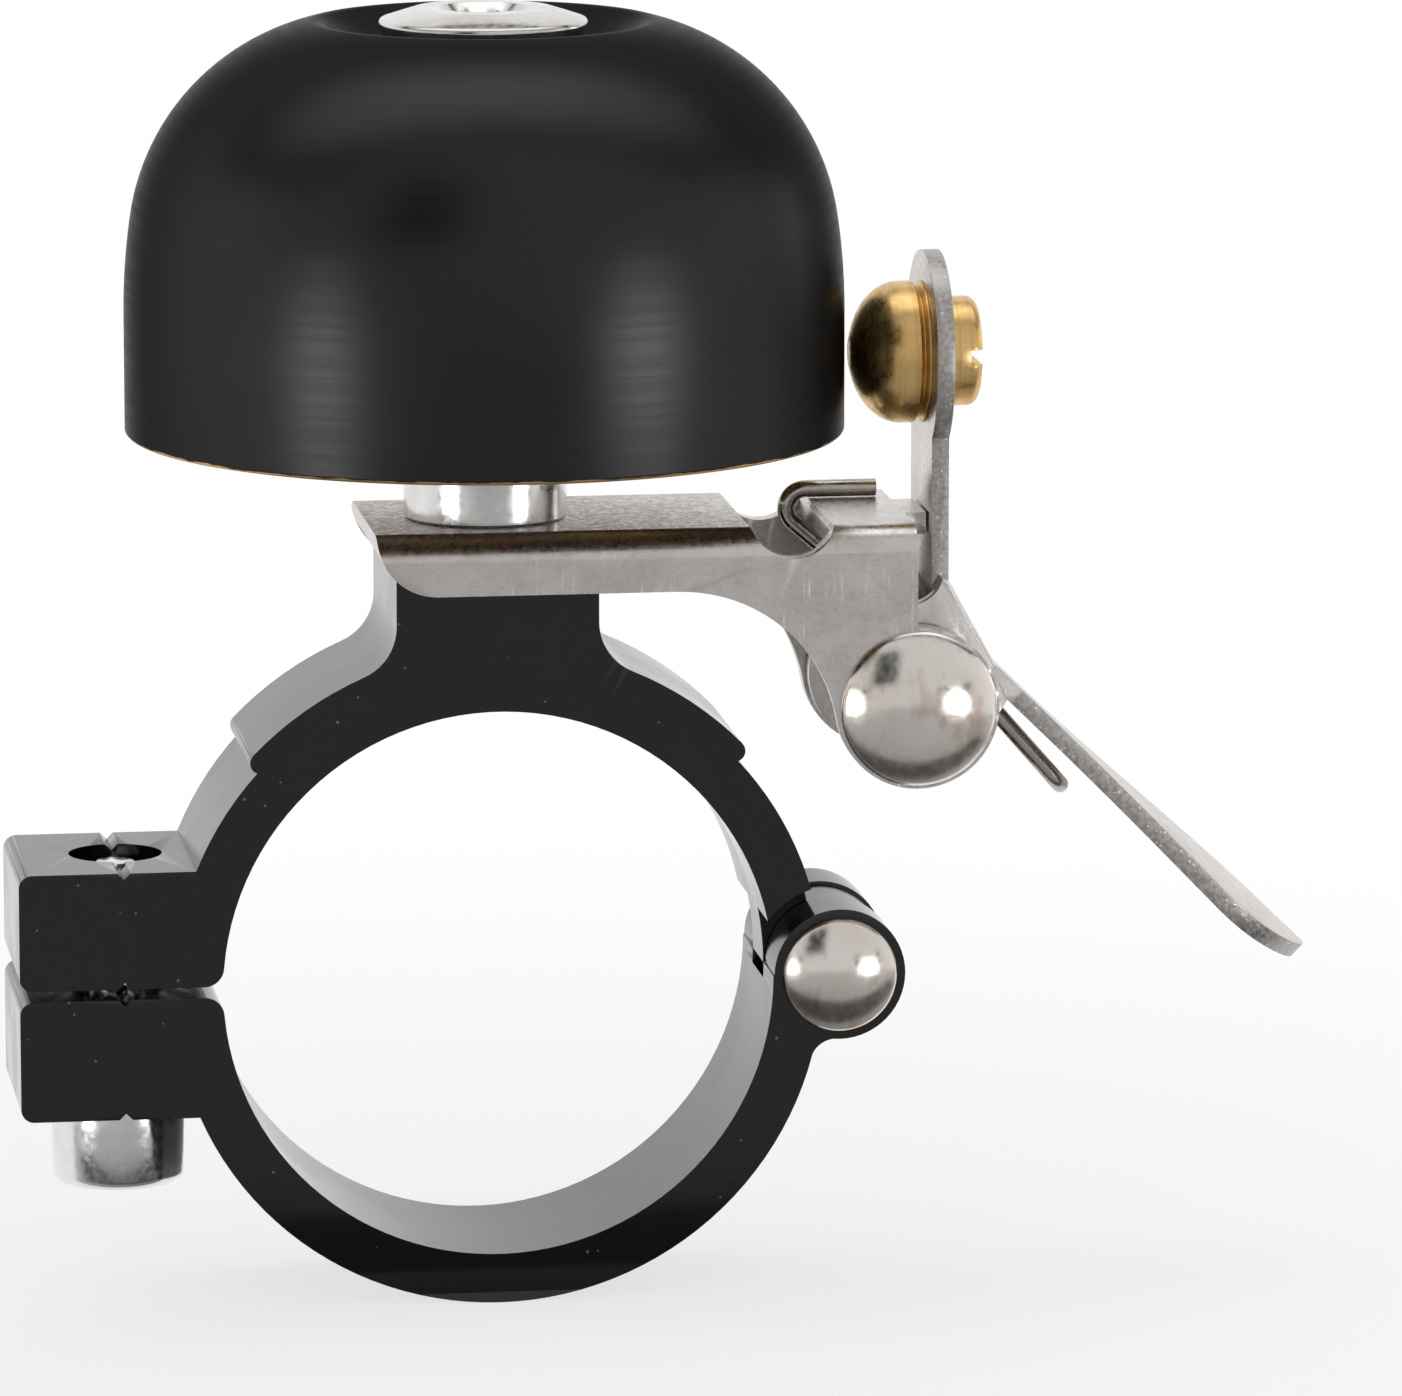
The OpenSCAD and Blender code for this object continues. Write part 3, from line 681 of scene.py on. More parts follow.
@dataclass(frozen=True)
class NickelSheet(Finish):
    """Nickel-plated steel sheet, stamped and tumbled: satin with fine dents and upright scuffs."""

    slot: str = "nickel_sheet"
    title: str = "Nickel plated sheet"
    colour: Colour = (0.66, 0.63, 0.61)
    scuff_low: float = 0.0182
    scuff_high: float = 0.0192

    def build(self) -> bpy.types.Material:
        """Make the material."""
        work = Surface(self.title)
        graph = work.graph
        z = graph.split(work.place)[2]
        grain = work.group(Effect.grain(), Vector=work.place, Scale=3600.0, Waves=1.2)
        upright = graph.stretch(work.place, (5200.0, 3000.0, 420.0))
        scuffs = work.group(Effect.scuffs(), Vector=work.place, Stretched=upright, Scale=1.0)["Mask"]
        band = graph.math("MULTIPLY", graph.spread(z, self.scuff_high, self.scuff_low, 0.25, 1.0), scuffs)
        pits = work.group(Effect.specks(), Vector=work.place, Scale=3800.0, Amount=0.05)["Mask"]
        warm = graph.blend(grain["Slow"], self.colour, (0.60, 0.565, 0.54))
        work.set(
            Base_Color=graph.blend(band, warm, (0.82, 0.80, 0.78)),
            Metallic=1.0,
            Roughness=graph.math("MULTIPLY_ADD", grain["Fine"], 0.1, graph.math("MULTIPLY_ADD", band, 0.12, 0.26)),
        )
        work.relief((grain["Height"], 9.0), (band, 5.0), (pits, -4.0))
        return work.material


@dataclass(frozen=True)
class CutEdge(Finish):
    """The sheet's sheared edge: a grainy, brighter band with torn specks."""

    slot: str = "nickel_sheet"
    title: str = "Sheared edge of the sheet"
    colour: Colour = (0.36, 0.342, 0.33)

    def build(self) -> bpy.types.Material:
        """Make the material."""
        work = Surface(self.title)
        graph = work.graph
        grain = work.group(Effect.grain(), Vector=work.place, Scale=4600.0, Waves=0.6)
        tears = work.group(Effect.specks(), Vector=work.place, Scale=5200.0, Amount=0.3)["Mask"]
        patchy = graph.blend(grain["Fine"], self.colour, (0.52, 0.498, 0.48))
        work.set(
            Base_Color=graph.blend(tears, patchy, (0.86, 0.85, 0.84)),
            Metallic=1.0,
            Roughness=graph.spread(grain["Fine"], 0, 1, 0.34, 0.5),
        )
        work.relief((grain["Height"], 16.0), (tears, 7.0))
        return work.material


@dataclass(frozen=True)
class PolishedNickel(Finish):
    """Warm polished nickel on a rivet's domed head, with soft tumbling marks and painted brownish reflection streaks.
    """

    slot: str = "nickel_rivet"
    title: str = "Polished nickel"
    colour: Colour = (0.80, 0.765, 0.72)
    gloss: float = 0.17

    def build(self) -> bpy.types.Material:
        """Make the material."""
        work = Surface(self.title)
        graph = work.graph
        grain = work.group(Effect.grain(), Vector=work.place, Scale=2600.0, Waves=5.0)
        pits = work.group(Effect.specks(), Vector=work.place, Scale=3200.0, Amount=0.06)["Mask"]
        # Painted reflection: upright brownish streaks, standing for the warm surround seen in the head, are blended
        # into the colour.
        reflection_band_noise = graph.noise(graph.stretch(work.place, (900.0, 900.0, 380.0)), 1.0, 2)
        painted_reflection_mask = graph.math("MULTIPLY", graph.spread(reflection_band_noise, 0.52, 0.66), 0.7)
        base = graph.blend(grain["Slow"], self.colour, (0.76, 0.70, 0.64))
        work.set(
            Base_Color=graph.blend(painted_reflection_mask, base, (0.62, 0.49, 0.42)),
            Metallic=1.0,
            Roughness=graph.spread(grain["Fine"], 0, 1, self.gloss, self.gloss + 0.07),
        )
        work.relief((grain["Height"], 3.4), (pits, -4.0))
        return work.material


@dataclass(frozen=True)
class BrightSteel(Finish):
    """Bright plated steel, turned: fine rings round an upright axis."""

    slot: str = "bright_screw"
    title: str = "Bright turned steel"
    colour: Colour = (0.78, 0.775, 0.77)
    centre_x: float = 0.0

    def build(self) -> bpy.types.Material:
        """Make the material."""
        work = Surface(self.title)
        graph = work.graph
        x, y, z = graph.split(work.place)
        off = graph.math("SUBTRACT", x, self.centre_x)
        out = graph.math("SQRT", graph.math("ADD", graph.math("MULTIPLY", off, off), graph.math("MULTIPLY", y, y)))
        marks = work.group(Effect.turning(), Vector=work.place, Along=z, Out=out, Scale=4200.0)
        grain = work.group(Effect.grain(), Vector=work.place, Scale=2800.0, Waves=1.5)
        work.set(
            Base_Color=graph.blend(grain["Slow"], self.colour, (0.70, 0.69, 0.68)),
            Metallic=1.0,
            Roughness=graph.spread(grain["Fine"], 0, 1, 0.13, 0.24),
        )
        work.relief((marks["Height"], 2.2), (grain["Height"], 3.2))
        return work.material


@dataclass(frozen=True)
class TurnedBrass(Finish):
    """Turned brass with the tool's rings round a level axis along X, darker along some of the rings and in slow
    patches.
    """

    slot: str = "turned_brass"
    title: str = "Turned brass"
    centre_z: float = 0.0282
    colour: Colour = (0.80, 0.55, 0.24)

    def build(self) -> bpy.types.Material:
        """Make the material."""
        work = Surface(self.title)
        graph = work.graph
        x, y, z = graph.split(work.place)
        up = graph.math("SUBTRACT", z, self.centre_z)
        out = graph.math("SQRT", graph.math("ADD", graph.math("MULTIPLY", up, up), graph.math("MULTIPLY", y, y)))
        marks = work.group(Effect.turning(), Vector=work.place, Along=x, Out=out, Scale=5600.0)
        grain = work.group(Effect.grain(), Vector=work.place, Scale=3000.0, Waves=1.5)
        pits = work.group(Effect.specks(), Vector=work.place, Scale=3600.0, Amount=0.08)["Mask"]
        tone = graph.blend(marks["Mask"], self.colour, (0.70, 0.45, 0.17))
        work.set(
            Base_Color=graph.blend(graph.math("MULTIPLY", grain["Slow"], 0.5), tone, (0.58, 0.36, 0.13)),
            Metallic=1.0,
            Roughness=graph.spread(grain["Fine"], 0, 1, 0.27, 0.38),
        )
        work.relief((marks["Height"], 4.5), (grain["Height"], 2.0), (pits, -5.0))
        return work.material


@dataclass(frozen=True)
class SpringWire(Finish):
    """Drawn spring steel: dark and bright at once, with a fine grain."""

    slot: str = "spring_wire"
    title: str = "Drawn spring wire"
    colour: Colour = (0.46, 0.43, 0.40)

    def build(self) -> bpy.types.Material:
        """Make the material."""
        work = Surface(self.title)
        graph = work.graph
        grain = work.group(Effect.grain(), Vector=work.place, Scale=4200.0, Waves=0.8)
        work.set(
            Base_Color=graph.blend(grain["Slow"], self.colour, (0.33, 0.305, 0.28)),
            Metallic=1.0,
            Roughness=graph.spread(grain["Fine"], 0, 1, 0.16, 0.28),
        )
        work.relief((grain["Height"], 3.0))
        return work.material


@dataclass(frozen=True)
class Nylon(Finish):
    """Milky nylon with a moulded skin."""

    slot: str = "nylon"
    title: str = "Moulded nylon"

    def build(self) -> bpy.types.Material:
        """Make the material."""
        work = Surface(self.title)
        graph = work.graph
        grain = work.group(Effect.grain(), Vector=work.place, Scale=2200.0, Waves=1.0)
        work.set(
            Base_Color=graph.blend(grain["Slow"], (0.74, 0.72, 0.66), (0.68, 0.655, 0.60)),
            Roughness=graph.spread(grain["Fine"], 0, 1, 0.38, 0.5),
            Subsurface_Weight=0.1,
            Subsurface_Scale=0.001,
        )
        work.relief((grain["Height"], 4.0))
        return work.material


# ---------------------------------------------------------------------------
# Pieces
# ---------------------------------------------------------------------------


class Body(Enum):
    """The CAD bodies that pieces ride on."""

    FIXED = "root"
    STRIKER = "striker"
    LOWER = "clamp_lower"
    SCREW = "clamp_screw"


def dress(piece: bpy.types.Object, finish: Finish) -> None:
    """Give a piece one finish."""
    piece.data.materials.clear()
    piece.data.materials.append(finish.material())


def report(piece: bpy.types.Object) -> None:
    """Log a finished piece."""
    LOG.info("%s: %d faces", piece.name, len(piece.data.polygons))


def hand_in(piece: bpy.types.Object, finish: Finish, body: Body, *nodes: str) -> None:
    """Dress a new piece, and say what it rides on and stands for.

    Args:
        piece: The piece, in place.
        finish: Its finish.
        body: The body that it moves with.
        nodes: The CAD nodes that it stands for.
    """
    if not piece.data.materials:
        dress(piece, finish)
    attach(piece, body.value)
    if nodes:
        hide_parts(*nodes)
    report(piece)


def keep(node: str, finish: Finish, width: float, segments: int = 2) -> None:
    """Keep a CAD node's shape, soften its edges with live modifiers and dress it.

    Args:
        node: The CAD node.
        finish: Its finish.
        width: Width of the edges' rounding, in millimetres.
        segments: Facets across the rounding.
    """
    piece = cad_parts[node]
    Bench.take(piece)
    bpy.ops.mesh.customdata_custom_splitnormals_clear()
    bpy.ops.object.shade_smooth()
    weld = piece.modifiers.new("Weld", "WELD")
    weld.merge_threshold = MM * 0.001
    bevel = piece.modifiers.new("Rounded edges", "BEVEL")
    bevel.width = width * MM
    bevel.segments = segments
    bevel.limit_method = "ANGLE"
    bevel.angle_limit = math.radians(28)
    bevel.use_clamp_overlap = True
    normals = piece.modifiers.new("Even faces", "WEIGHTED_NORMAL")
    normals.keep_sharp = True
    dress(piece, finish)
    report(piece)


def hex_socket(piece: bpy.types.Object, axis: Axis, flats: float, top: float, depth: float, mouth: float) -> None:
    """Sink a hexagonal socket with a coned mouth into a turned head.

    Args:
        piece: The head.
        axis: Its axis, which runs out of the socket.
        flats: Width across the socket's flats, in millimetres.
        top: Height of the face it is sunk into.
        depth: How deep it goes.
        mouth: Diameter of the cone at the face.
    """
    cone = [(0, top - 0.5), (mouth / 2 - 0.5, top - 0.5), (mouth / 2 + 0.3, top + 0.3), (0, top + 0.3)]
    Bench.cut(piece, Bench.turn("cutter", axis, cone, 96))
    Bench.cut(piece, Bench.prism("cutter", axis, 6, flats, top - depth, top + 1))


@dataclass
class SetRivet:
    """A rivet along Y: a domed head in front and a lower formed head behind."""

    name: str
    node: str
    shank: float
    head: float
    rise: float
    grip: float
    edge: float = 0.16
    rear_share: float = 0.85
    rear_rise: float = 0.6

    def dome(self, width: float, rise: float, pieces: int = 20) -> List[Point2]:
        """A head's cap from its middle to its rounded edge, as (radius, height over its base)."""
        ball = (width * width / 4 + (rise - self.edge) ** 2) / (2 * (rise - self.edge))
        end = math.degrees(math.asin((width / 2 - self.edge * 0.4) / ball))
        cap = [(ball * math.sin(math.radians(a)), rise - ball * (1 - math.cos(math.radians(a))))
               for a in (end * step / pieces for step in range(pieces + 1))]
        foot = cap[-1][1]
        return cap + [(width / 2, foot * 0.55), (width / 2, foot * 0.25), (width / 2 - self.edge * 0.3, 0)]

    def build(self) -> None:
        """Turn the rivet and hand it in."""
        low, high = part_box(self.node)
        middle = (low + high) / 2 / MM
        axis = Axis(Vector((middle.x, 0, middle.z)), Vector((0, 1, 0)), Vector((0, 0, 1)))
        half = self.grip / 2
        front = [(r, -half - h) for r, h in self.dome(self.head, self.rise)]
        rear = [(r, half + h) for r, h in self.dome(self.head * self.rear_share, self.rise * self.rear_rise)]
        profile = front + [(self.shank / 2, -half), (self.shank / 2, half)] + rear[::-1]
        profile[0] = (0, profile[0][1])
        piece = Bench.turn(self.name, axis, profile, 128)
        Bench.take(piece)
        bpy.ops.object.shade_smooth_by_angle(angle=math.radians(40))
        hand_in(piece, PolishedNickel(), Body.FIXED, self.node)


@dataclass
class Clamp:
    """The hinged clamp: two cast halves, the screw that closes them and the hinge's rivet."""

    edge: float = 0.2
    screw_head_d: float = 6.1
    screw_head_h: float = 3.8
    screw_core: float = 1.2
    screw_crest: float = 1.5
    screw_pitch: float = 0.5
    socket: float = 2.5
    hinge_pin: float = 2.6
    hinge_head: float = 5.3
    hinge_rise: float = 1.1

    def build(self) -> None:
        """Build and dress the whole clamp."""
        for node in ("clamp_upper", "clamp_lower"):
            keep(node, GlossBlack(), self.edge, 3)
        self.build_screw()
        width = (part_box("clamp_upper")[1].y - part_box("clamp_upper")[0].y) / MM
        grip = width + 0.1
        SetRivet("hinge_rivet_set", "hinge_rivet", self.hinge_pin, self.hinge_head, self.hinge_rise, grip).build()

    def build_screw(self) -> None:
        """Turn the clamp's socket screw, head down, with a cut thread."""
        low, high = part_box("clamp_screw")
        middle = (low + high) / 2 / MM
        foot, tip = low.z / MM, high.z / MM
        axis = Axis(Vector((middle.x, 0, foot)), Vector((0, 0, 1)), Vector((1, 0, 0)))
        r, h, core = self.screw_head_d / 2, self.screw_head_h, self.screw_core
        length = tip - foot
        profile = [(0, 0.0), (r - 0.55, 0.0)]
        profile += arc((r - 0.45, 0.45), 0.45, -78, 0, 6)
        profile += [(r, h - 0.12), (r - 0.12, h), (core, h), (core, length - 0.35), (core - 0.35, length), (0, length)]
        piece = Bench.turn("clamp_screw_turned", axis, profile)
        downward = Axis(axis.at, Vector((0, 0, -1)), Vector((1, 0, 0)))
        hex_socket(piece, downward, self.socket, 0, 1.9, self.socket + 0.7)
        Bench.soften(piece, 0.05, 35, 2)
        turns = int((length - h - 0.6) / self.screw_pitch) - 1
        start = Axis(Vector((middle.x, 0, foot + h + 0.2)), axis.along, axis.out)
        ridge = Bench.thread("thread", start, core, self.screw_crest, self.screw_pitch, turns)
        Bench.join(piece, [ridge])
        Bench.take(piece)
        bpy.ops.object.shade_smooth_by_angle(angle=math.radians(35))
        finish = BrightSteel(title="Bright turned screw", centre_x=middle.x * MM)
        hand_in(piece, finish, Body.SCREW, "clamp_screw")


@dataclass
class DomeStack:
    """The dome, the bolt that holds it, and the spacer and washer that it stands on."""

    wall: float = 1.6
    side_h: float = 5.5
    bulge_r: float = 30
    bulge_h: float = 4.5
    shoulder_r: float = 10.75
    recess_r: float = 8
    lip_round: float = 0.8
    recess_slope: float = 30
    recess_depth: float = 1.1
    crown: float = 1.65
    rim_round: float = 0.22
    hole_r: float = 2.6
    bolt_r: float = 2.5
    head_r: float = 4.8
    head_h: float = 1.7
    socket: float = 3.0

    def dome_profile(self, r: float, rim: float) -> List[Point2]:
        """The dome's section, as (radius, height), from the bolt's hole outwards and back inside.

        Args:
            r: The dome's outer radius.
            rim: Height of its rim.

        Returns:
            A closed profile.
        """
        bulge_a = math.degrees(math.asin(self.bulge_h / self.bulge_r))
        side_z = rim + self.side_h
        bulge_c = (r - self.bulge_r, side_z)
        gap = self.bulge_r - self.shoulder_r
        shoulder_c = (bulge_c[0] + gap * math.cos(math.radians(bulge_a)), side_z + gap * self.bulge_h / self.bulge_r)
        lip_a = math.degrees(math.acos((self.recess_r - shoulder_c[0]) / self.shoulder_r))
        dx, dz = polar(self.shoulder_r - self.lip_round, lip_a)
        lip_c = (shoulder_c[0] + dx, shoulder_c[1] + dz)
        lip = arc(lip_c, self.lip_round, lip_a, 90 + self.recess_slope, 10)
        floor_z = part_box("bell_dome")[1].z / MM - self.recess_depth
        floor_r = lip[-1][0] - (lip[-1][1] - floor_z) / math.tan(math.radians(self.recess_slope))
        crown_z = floor_z - self.crown
        inner_r = self.shoulder_r - self.wall
        inner_a = math.degrees(math.acos((self.recess_r + self.wall / 2 - shoulder_c[0]) / inner_r))
        edge = self.rim_round
        outside = (
            [(self.hole_r, floor_z), (floor_r - 0.35, floor_z), (floor_r + 0.25, floor_z + 0.14)]
            + lip[::-1]
            + arc(shoulder_c, self.shoulder_r, lip_a, bulge_a, 40)[1:]
            + arc(bulge_c, self.bulge_r, bulge_a, 0, 12)[1:]
            + [(r, rim + edge)]
        )
        rim_line = (
            arc((r - edge, rim + edge), edge, -15, -90, 5)
            + arc((r - self.wall + edge, rim + edge), edge, -90, -165, 5)
            + [(r - self.wall, rim + edge)]
        )
        inside = (
            arc(bulge_c, self.bulge_r - self.wall, 0, bulge_a, 10)
            + arc(shoulder_c, inner_r, bulge_a, inner_a, 30)[1:]
            + [(floor_r + self.wall / 2, crown_z), (self.hole_r, crown_z), (self.hole_r, floor_z)]
        )
        return outside + rim_line + inside

    def build(self) -> None:
        """Build and dress the stack."""
        low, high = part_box("bell_dome")
        axis = Axis(Vector((0, 0, 0)), Vector((0, 0, 1)), Vector((1, 0, 0)))
        dome = Bench.turn("dome_turned", axis, self.dome_profile(high.x / MM, low.z / MM), 224)
        Bench.take(dome)
        bpy.ops.object.shade_smooth_by_angle(angle=math.radians(40))
        finish = SatinDome(rim_z=low.z)
        dress(dome, finish)
        dome.data.materials.append(DullBrass().material())
        rim_middle = high.x - self.wall * MM / 2
        crown = high.z - (self.recess_depth + self.crown / 2) * MM
        for face in dome.data.polygons:
            inward = face.normal.x * face.center.x + face.normal.y * face.center.y < 0
            within = math.hypot(face.center.x, face.center.y) < rim_middle
            if face.center.z < crown and within and (inward or face.normal.z < -0.5):
                face.material_index = 1
        hand_in(dome, finish, Body.FIXED, "bell_dome")
        self.build_bolt(axis)
        keep("spacer", BrightSteel(title="Bright turned spacer"), 0.12)
        keep("isolating_washer", Nylon(), 0.1)

    def build_bolt(self, axis: Axis) -> None:
        """Turn the dome's bolt, with its low coned head and hexagonal socket."""
        low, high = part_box("dome_bolt")
        foot, top = low.z / MM, high.z / MM
        seat = top - self.head_h
        r = self.head_r
        profile = [(0, foot), (self.bolt_r - 0.4, foot), (self.bolt_r, foot + 0.4), (self.bolt_r, seat)]
        profile += [(r - 0.45, seat), (r - 0.42, seat + 0.08), (r - 0.05, seat + 0.72)]
        profile += arc((r - 0.3, top - 0.75), 0.3, -8, 62, 7)
        profile += [(r - 1.62, top - 0.02), (r - 1.85, top), (0, top)]
        piece = Bench.turn("dome_bolt_turned", axis, profile, 128)
        hex_socket(piece, axis, self.socket, top, 1.5, self.socket + 1.1)
        Bench.soften(piece, 0.06, 32, 2)
        hand_in(piece, BrightSteel(title="Bright turned bolt", colour=(0.60, 0.58, 0.55)), Body.FIXED, "dome_bolt")


@dataclass
class StrikerLever:
    """The folded lever: a round-headed neck, a plate with two cheeks, and a crowned thumb paddle."""

    thick: float = 0.8
    neck_out: float = 1.05
    plate_out: float = 3.4
    plate_lean: float = 28.75
    paddle_out: float = 3.05
    slope: float = 44.2
    length: float = 22.5
    half_root: float = 4.1
    half_tip: float = 5.2
    clear_of_cheeks: float = 1.75
    crown: float = 0.78
    droop: float = 0.30
    edge: float = 0.07

    def __post_init__(self) -> None:
        """Find the pivot and the paddle's own directions."""
        low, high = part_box("pivot_rivet")
        self.pivot = (low + high) / 2
        angle = math.radians(self.slope)
        self.down = Vector((math.cos(angle), 0, -math.sin(angle)))
        self.up = Vector((math.sin(angle), 0, math.cos(angle)))
        n = Vector((math.cos(math.radians(self.plate_lean)), 0, math.sin(math.radians(self.plate_lean))))
        # Where the plate's inner face meets the paddle's underside, along the paddle
        along_share = self.down.dot(n)
        up_share = self.up.dot(n)
        self.root = (self.plate_out - self.paddle_out * up_share) / along_share
        self.start = self.root + self.clear_of_cheeks

    def along(self, place: Vector) -> float:
        """How far a place is down the paddle's slope from the pivot, in millimetres."""
        return (place - self.pivot).dot(self.down) / MM

    def half_width(self, distance: float) -> float:
        """Half the paddle's width at a distance down its slope."""
        straight = self.length - self.half_tip
        if distance <= straight:
            return self.half_root + (self.half_tip - self.half_root) * max(0.0, distance) / straight
        return math.sqrt(max(0.01, self.half_tip ** 2 - (distance - straight) ** 2))

    def build(self) -> None:
        """Work the lever out of a copy of its CAD node, and hand it in."""
        piece = Bench.copy_of("striker_lever", "striker_lever_pressed")
        self.divide(piece)
        self.press(piece)
        Bench.soften(piece, self.edge, 34, 2)
        dress(piece, NickelSheet())
        piece.data.materials.append(CutEdge().material())
        for face in piece.data.polygons:
            if self.is_cut_edge(face):
                face.material_index = 1
        hand_in(piece, NickelSheet(), Body.STRIKER, "striker_lever")

    def divide(self, piece: bpy.types.Object) -> None:
        """Cut the paddle into a grid, so that it can take a curve."""
        def on_paddle(face: bmesh.types.BMFace) -> bool:
            """Whether a face lies on the paddle, clear of the cheeks."""
            return self.along(face.calc_center_median()) > self.start

        start = self.pivot + self.down * self.start * MM
        Bench.edit(piece, Pick.FACES, lambda face: True)
        bpy.ops.mesh.bisect(plane_co=start, plane_no=self.down)
        bpy.ops.object.mode_set(mode="OBJECT")
        rows = 18
        for row in range(1, rows):
            place = start + self.down * (self.length - self.start) * MM * row / rows
            Bench.edit(piece, Pick.FACES, on_paddle)
            bpy.ops.mesh.bisect(plane_co=place, plane_no=self.down)
        columns = 14
        for column in range(1, columns):
            y = self.half_tip * (2 * column / columns - 1)
            Bench.edit(piece, Pick.FACES, on_paddle)
            bpy.ops.mesh.bisect(plane_co=(0, y * MM, 0), plane_no=(0, 1, 0))
        bpy.ops.object.mode_set(mode="OBJECT")

    def press(self, piece: bpy.types.Object) -> None:
        """Raise the paddle's middle and lower its sides, more towards the tip."""
        raised = piece.vertex_groups.new(name="raised")
        lowered = piece.vertex_groups.new(name="lowered")
        for vert in piece.data.vertices:
            s = self.along(vert.co)
            if s < self.start or (vert.co - self.pivot).dot(self.up) / MM < self.paddle_out - 0.1:
                continue
            grown = smoothstep(self.start, self.length - 3, s)
            across = min(1.0, abs(vert.co.y) / MM / self.half_tip)
            raised.add([vert.index], grown * (1 - across * across), "REPLACE")
            lowered.add([vert.index], grown, "REPLACE")
        self.tilt(piece, -1)
        for group, rise in ((raised, self.crown), (lowered, -self.droop)):
            Bench.apply(piece, "DISPLACE", direction="Z", mid_level=0.0, strength=rise * MM, vertex_group=group.name)
        self.tilt(piece, 1)
        piece.vertex_groups.clear()

    def tilt(self, piece: bpy.types.Object, way: int) -> None:
        """Turn the mesh about Y, so that the paddle lies level, or back again."""
        piece.rotation_euler = (0, way * math.radians(self.slope), 0)
        Bench.take(piece)
        bpy.ops.object.transform_apply(location=False, rotation=True, scale=False)

    def is_cut_edge(self, face: bpy.types.MeshPolygon) -> bool:
        """Whether a face is part of the sheet's sheared edge."""
        middle = face.center
        if self.along(middle) > self.start:
            return abs(face.normal.dot(self.up)) < 0.4
        if (middle.z - self.pivot.z) / MM > 7:
            return abs(face.normal.x) < 0.4
        return False


@dataclass
class Hammer:
    """The turned brass hammer and the slotted screw that holds it to the lever's head."""

    radius: float = 3.27
    length: float = 3.38
    flat: float = 0.8
    head_r: float = 2.53
    head_h: float = 1.7
    slot_w: float = 0.7
    slot_depth: float = 0.6
    thread_r: float = 1.2
    sheet: float = 0.8

    def axis(self) -> Axis:
        """The hammer's axis, which runs outwards from the face that strikes."""
        low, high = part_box("hammer")
        middle = (low + high) / 2 / MM
        return Axis(Vector((low.x / MM, 0, middle.z)), Vector((1, 0, 0)), Vector((0, 0, 1)))

    def build(self) -> None:
        """Turn both pieces and hand them in."""
        axis = self.axis()
        nose = self.length - 1.1
        start, span = 15, 75
        base = math.sin(math.radians(start))
        profile = [(0, 0), (self.flat - 0.08, 0)]
        for step in range(25):
            a = math.radians(start + span * step / 24)
            r = self.flat + (self.radius - self.flat) * (math.sin(a) - base) / (1 - base)
            profile.append((r, nose * (math.cos(math.radians(start)) - math.cos(a)) / math.cos(math.radians(start)) + 0.03))
        r, l = self.radius, self.length
        profile += [(r, l - 0.52), (r - 0.06, l - 0.46), (r - 0.27, l - 0.32), (r - 0.27, l - 0.28)]
        profile += [(r - 0.05, l - 0.17), (r, l - 0.13), (r, l - 0.05), (r - 0.05, l), (self.thread_r, l), (self.thread_r, 1.0), (0, 0.9)]
        finish = TurnedBrass(centre_z=axis.at.z * MM)
        hammer = Bench.turn("hammer_turned", axis, profile, 128)
        Bench.take(hammer)
        bpy.ops.object.shade_smooth_by_angle(angle=math.radians(28))
        hand_in(hammer, finish, Body.STRIKER, "hammer")
        self.build_screw(axis, finish)

    def build_screw(self, axis: Axis, finish: Finish) -> None:
        """Turn the slotted screw; its slot runs along Y."""
        seat = self.length + self.sheet
        r, top = self.head_r, seat + self.head_h
        profile = [(0, 1.2), (self.thread_r - 0.2, 1.2), (self.thread_r - 0.02, 1.4), (self.thread_r - 0.02, seat), (r - 0.1, seat), (r, seat + 0.1)]
        profile += arc((r - 0.5, top - 0.5), 0.5, 0, 90, 8)
        profile += [(0, top)]
        piece = Bench.turn("hammer_screw_turned", axis, profile, 96)
        Bench.clear()
        bpy.ops.mesh.primitive_cube_add(size=MM, location=axis.place(0, top))
        cutter = bpy.context.object
        cutter.scale = (self.slot_depth * 2, 4 * r, self.slot_w)
        bpy.ops.object.transform_apply(location=True, rotation=True, scale=True)
        Bench.cut(piece, cutter)
        Bench.soften(piece, 0.07, 32, 2)
        hand_in(piece, finish, Body.STRIKER, "hammer_screw")


